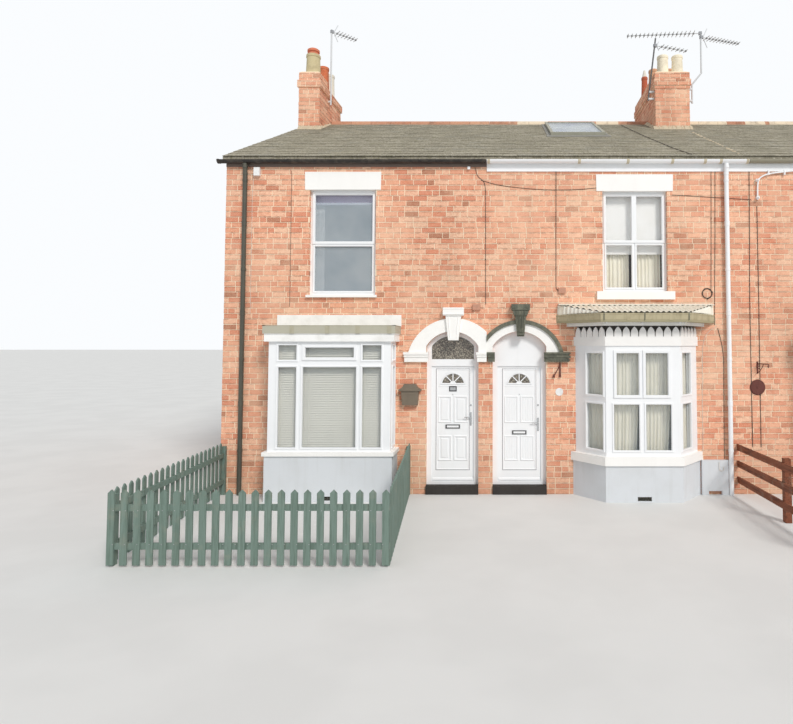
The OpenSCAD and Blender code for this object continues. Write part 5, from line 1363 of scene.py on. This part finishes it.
def door_mouldings():
    """Mouldings, seal, number plate and flap on the front of each leaf. The grey seal also stands
    as painted shade in the groove round the leaf's face.
    """
    for i, (x, w) in enumerate(DOORS):
        xm, face, z = x + w / 2, street(LEAF_Y), LETTER_Z[i]
        body = "front_door_%d" % (i + 1)
        m = Mesh()

        def raised(a, b, c, d, inset, d0, d1):
            m.slab(face, rect(a, b, c, d), d0, d1,
                   top=rect(a + inset, b - inset, c + inset, d - inset))

        ring(m, face, xm - FACE_HALF, xm + FACE_HALF, *FACE_Z, MOULD)
        for c, d in FIELDS:
            for s in (-1, 1):
                a, b = sorted((xm + s * 0.027, xm + s * 0.240))
                ring(m, face, a, b, c + 0.005, d - 0.005, PANEL)
                if i != 1:
                    raised(a + 0.040, b - 0.040, c + 0.040, d - 0.040, 0.015, -0.001, 0.006)
                else:
                    for p, q in spans(a + 0.024, b - 0.024, 4):
                        raised(p + 0.001, q - 0.001, c + 0.03, d - 0.03, 0.004, -0.001, 0.005)
        # The sunburst's arch and foot, and a drip bar along the leaf's bottom
        m.tube([face(u, v, 0.002) for u, v in arc(xm, 1.789, 0.199, 24, math.radians(8.7),
                                                  math.radians(171.3))], 0.009)
        m.tube([face(xm - 0.21, 1.806, 0.002), face(xm + 0.21, 1.806, 0.002)], 0.009)
        m.tube([face(xm - 0.24, 1.772, 0.001), face(xm + 0.24, 1.772, 0.001)], 0.006)
        m.slab(face, rect(xm - 0.098, xm + 0.098, z - 0.017, z + 0.017), 0.008, 0.0125,
               top=rect(xm - 0.09604, xm + 0.09604, z - 0.0153, z + 0.0153))
        half = w / 2 - 0.10
        m.rail(face, xm - half, xm + half, [(0.0, 0.205), (0.014, 0.205), (0.018, 0.211),
                                            (0.010, 0.238), (0.0, 0.245)])
        piece("door_mouldings_%d" % (i + 1), m, ["upvc"], body)

        m = Mesh()
        # A grey seal in the groove round the face: a gasket, and painted shade of the groove
        e = FACE_HALF + 0.0145
        ring(m, face, xm - e, xm + e, FACE_Z[0] - 0.0145, FACE_Z[1] + 0.0145,
             strip(-0.003, 0.003, 0.0015))
        ring(m, street(LEAF_Y - 0.009), xm - 0.105, xm + 0.105, z - 0.021, z + 0.021,
             strip(-0.012, 0.003, 0.002), 1)
        if i != 1:
            ring(m, street(LEAF_Y - 0.005), xm - 0.055, xm + 0.055, 1.688, 1.757,
                 strip(-0.009, 0.008, 0.002), 1)
        piece("door_seals_%d" % (i + 1), m, ["seal", "dark_plate"], body)


def rear_door_panels():
    """Mouldings and a lever on the plain rear doors."""
    m = Mesh()
    face = garden(DEPTH - 0.10)
    for x in REAR_DOORS:
        foot = -x - REAR_DOOR_W
        for a, b in ((0.09, 0.40), (0.45, 0.76)):
            for c, d in ((0.30, 1.00), (1.20, 2.03)):
                ring(m, face, foot + a, foot + b, c, d, PANEL)
        m.tube([face(-x - u, 1.12, d) for u, d in ((0.07, 0.0), (0.07, 0.045), (0.085, 0.05),
                                                   (0.18, 0.05))], 0.009, 10, 1)
        m.stud(face, -x - 0.07, 1.12, 0.0, 0.008, 0.024, 16, 1)
    piece("rear_door_mouldings", m, ["upvc", "bright"])


# Aerials, carving and the fence's screws ---------------------------------------------

MAST_R = 0.0153


def aerial_details():
    """Rods, their moulded clips and the clamps on the aerials' booms."""
    m = Mesh()

    def block(p, d, side, half):
        ends = [[tuple(p + d * (e * half[0]) + side * (u * half[1]) + Vector((0, 0, v * half[2])))
                 for u, v in rect(-1, 1, -1, 1)] for e in (-1, 1)]
        m.solid(*ends, 1)

    # Each boom: the mast's end, its tip, how many rods and the longest one
    for mast, tip, n, rod in (
            ((0.6795, 3.70, 9.793), (1.1595, 4.10, 9.793), 7, 0.30),
            ((9.203, 3.35, 9.566), (7.548, 3.47, 9.566), 17, 0.27),
            ((9.203, 3.35, 9.475), (10.183, 3.65, 9.475), 11, 0.24),
            ((8.1091, 3.20, 9.205), (8.9051, 3.463, 9.205), 7, 0.22)):
        mast, tip = Vector(at(*mast)), Vector(at(*tip))
        d = (tip - mast).normalized()
        side = Vector((-d.y, d.x, 0))
        reach = (tip - mast).length - MAST_R
        for k in range(n):
            q = mast + d * (MAST_R + reach * (k + 1.6) / (n + 0.8))
            half = side * (rod * (1 - 0.35 * k / n) / 2 + 0.002)
            m.tube([q - half, q + half], 0.0095)
            block(q, d, side, (0.016, 0.019, 0.017))
        block(mast + d * 0.012, d, side, (0.034, 0.026, 0.034))
        m.tube([tip - d * 0.03, tip + d * 0.003], 0.013, 12, 1)
    for r, mat, *path in (
            (0.019, 0, (0.6795, 3.70, 8.037), (0.6795, 3.70, 9.831)),
            (0.0205, 0, (8.985, 3.35, 7.939), (8.985, 3.35, 8.374), (9.203, 3.35, 8.640),
             (9.203, 3.35, 9.595)),
            (0.0175, 2, (7.948054, 3.20, 7.937), (8.129791, 3.20, 9.368))):
        m.tube([at(*p) for p in path], r, 16, mat)
    piece("aerial_details", m, ["aerial", "moulded_clip", "dark_mast"])


# The left end of the dark arch's right impost
IMPOST_X = 5.354


def boss(m, to3, u, v, r):
    """A small round boss with a raised middle."""
    m.stud(to3, u, v, -0.002, 0.010, r, 14)
    m.stud(to3, u, v, 0.010, 0.016, r * 0.45, 10)


def arch_carving():
    """Bosses and leaves on the dark keystone and impost, flutes on the white ones."""
    m = Mesh()
    key, (x, w) = street(-0.105), DOORS[1]
    xm = x + w / 2 + 0.02
    for s in (-1, 1):
        boss(m, street(-0.135), xm + s * 0.115, 3.088, 0.026)
    for j in range(-3, 4):
        u = xm + 0.026 * j
        m.box(u - 0.008, u + 0.008, -0.128, -0.118, 2.958, 3.020)
    for j in range(-2, 3):
        u = 0.026 * j
        m.tube([key(xm + u * 0.86, 2.66, 0.006), key(xm + u, 2.93, 0.008)], 0.0075)
    m.tube([key(xm - 0.058, 2.635, 0.008), key(xm + 0.058, 2.635, 0.008)], 0.014, 10)
    x0, x1 = IMPOST_X + 0.02, IMPOST_X + 0.44
    for u in mids(x0, x1, 9):
        m.slab(street(-0.060), [(u - 0.017, 2.225), (u + 0.017, 2.225), (u + 0.014, 2.198),
                                (u, 2.184), (u - 0.014, 2.198)], -0.002, 0.013)
    m.tube([at(x0, -0.094, 2.322), at(x1, -0.094, 2.322)], 0.010, 10)
    for u in (x0 + 0.03, x1 - 0.03):
        boss(m, street(-0.075), u, 2.262, 0.028)
    piece("dark_carving", m, ["dark_paint"])

    m = Mesh()
    for x, w in (DOORS[0], DOORS[2]):
        xm = x + w / 2 + 0.02
        for s in (-1, 1):
            m.tube([key(xm + s * 0.052, 2.58, 0.001), key(xm + s * 0.082, 2.93, 0.001)], 0.008)
        for z, r, sides in ((2.972, 0.010, 10), (3.06, 0.008, 10)):
            m.tube([at(xm - 0.168, -0.131, z), at(xm + 0.168, -0.131, z)], r, sides)
    piece("white_key_beads", m, ["white_paint"])


def fence_heads():
    """Screw heads where the rails meet the front run's pickets."""
    m = Mesh()
    front = street(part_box("picket_fence_front")[0][1] + OY)
    for x in mids(0.255, 3.39, 23):
        for z in (0.25, 0.62):
            m.stud(front, x, z, -0.001, 0.002, 0.005)
    piece("fence_screws", m, ["bright"])


for lay in (lay_walls, lay_stacks, lay_slates, fillets, beads, blinds, soft_goods, hood,
            felt_strips, gutter_parts, cables, ironwork, vents, roof_lines, door_mouldings,
            rear_door_panels, aerial_details, arch_carving, fence_heads):
    lay()


# Camera, floor and light -------------------------------------------------------------

# The photo's width and the lens's focal length in its pixels; where the camera stands
PHOTO_W, FOCAL, EYE, TILT = 793, 600, (4.622, -10.03, 2.46), 2.65
SENSOR, GROUND = 36.0, 300

scene = bpy.context.scene
cam = bpy.data.cameras.new("camera")
cam.sensor_fit = "HORIZONTAL"
cam.sensor_width = SENSOR
cam.lens = SENSOR * FOCAL / PHOTO_W
cam.shift_x = -0.1305
cam.shift_y = -0.0565
cam.clip_end = 800
cam_ob = bpy.data.objects.new("camera", cam)
cam_ob.location = at(*EYE)
cam_ob.rotation_euler = (math.radians(90 + TILT), 0, 0)
scene.collection.objects.link(cam_ob)
scene.camera = cam_ob

fl = bpy.data.meshes.new("floor")
fl.from_pydata([(x, y, 0) for x, y in rect(-GROUND, GROUND, -GROUND, GROUND)], [],
               [[0, 1, 2, 3]])
floor = bpy.data.objects.new("floor", fl)
scene.collection.objects.link(floor)
n = Nodes("floor_pale", 0.9, spec=0.1)
n.color(n.stain((222, 222, 220), (226, 226, 224), 0.4, 0.6, 1.0, 0.8, 3))
fl.materials.append(n.mat)

# The sky is a little brighter where it is seen than where it lights the walls
world = bpy.data.worlds.new("world")
scene.world = world
world.use_nodes = True
wt = world.node_tree
bg, sky = wt.nodes["Background"], wt.nodes.new("ShaderNodeBackground")
for node, tone, strength in ((bg, (0.93, 0.96, 1.0, 1), 0.62), (sky, (0.96, 0.98, 1.0, 1), 1.0)):
    node.inputs["Color"].default_value = tone
    node.inputs["Strength"].default_value = strength
lp = wt.nodes.new("ShaderNodeLightPath")
seen = lp.outputs["Is Camera Ray"]
for key in ("Is Glossy Ray", "Is Transmission Ray"):
    either = wt.nodes.new("ShaderNodeMath")
    either.operation = "MAXIMUM"
    wt.links.new(seen, either.inputs[0])
    wt.links.new(lp.outputs[key], either.inputs[1])
    seen = either.outputs[0]
mx = wt.nodes.new("ShaderNodeMixShader")
for k, socket in enumerate((seen, bg.outputs[0], sky.outputs[0])):
    wt.links.new(socket, mx.inputs[k])
wt.links.new(mx.outputs[0], wt.nodes["World Output"].inputs["Surface"])

sun = bpy.data.lights.new("key", "SUN")
sun.energy = 1.9
sun.angle = math.radians(14)
sun.color = (1.0, 0.97, 0.93)
sun_ob = bpy.data.objects.new("key", sun)
sun_ob.rotation_euler = (math.radians(52), 0, math.radians(30))
scene.collection.objects.link(sun_ob)

scene.view_settings.view_transform = "Standard"

bpy.context.view_layer.update()
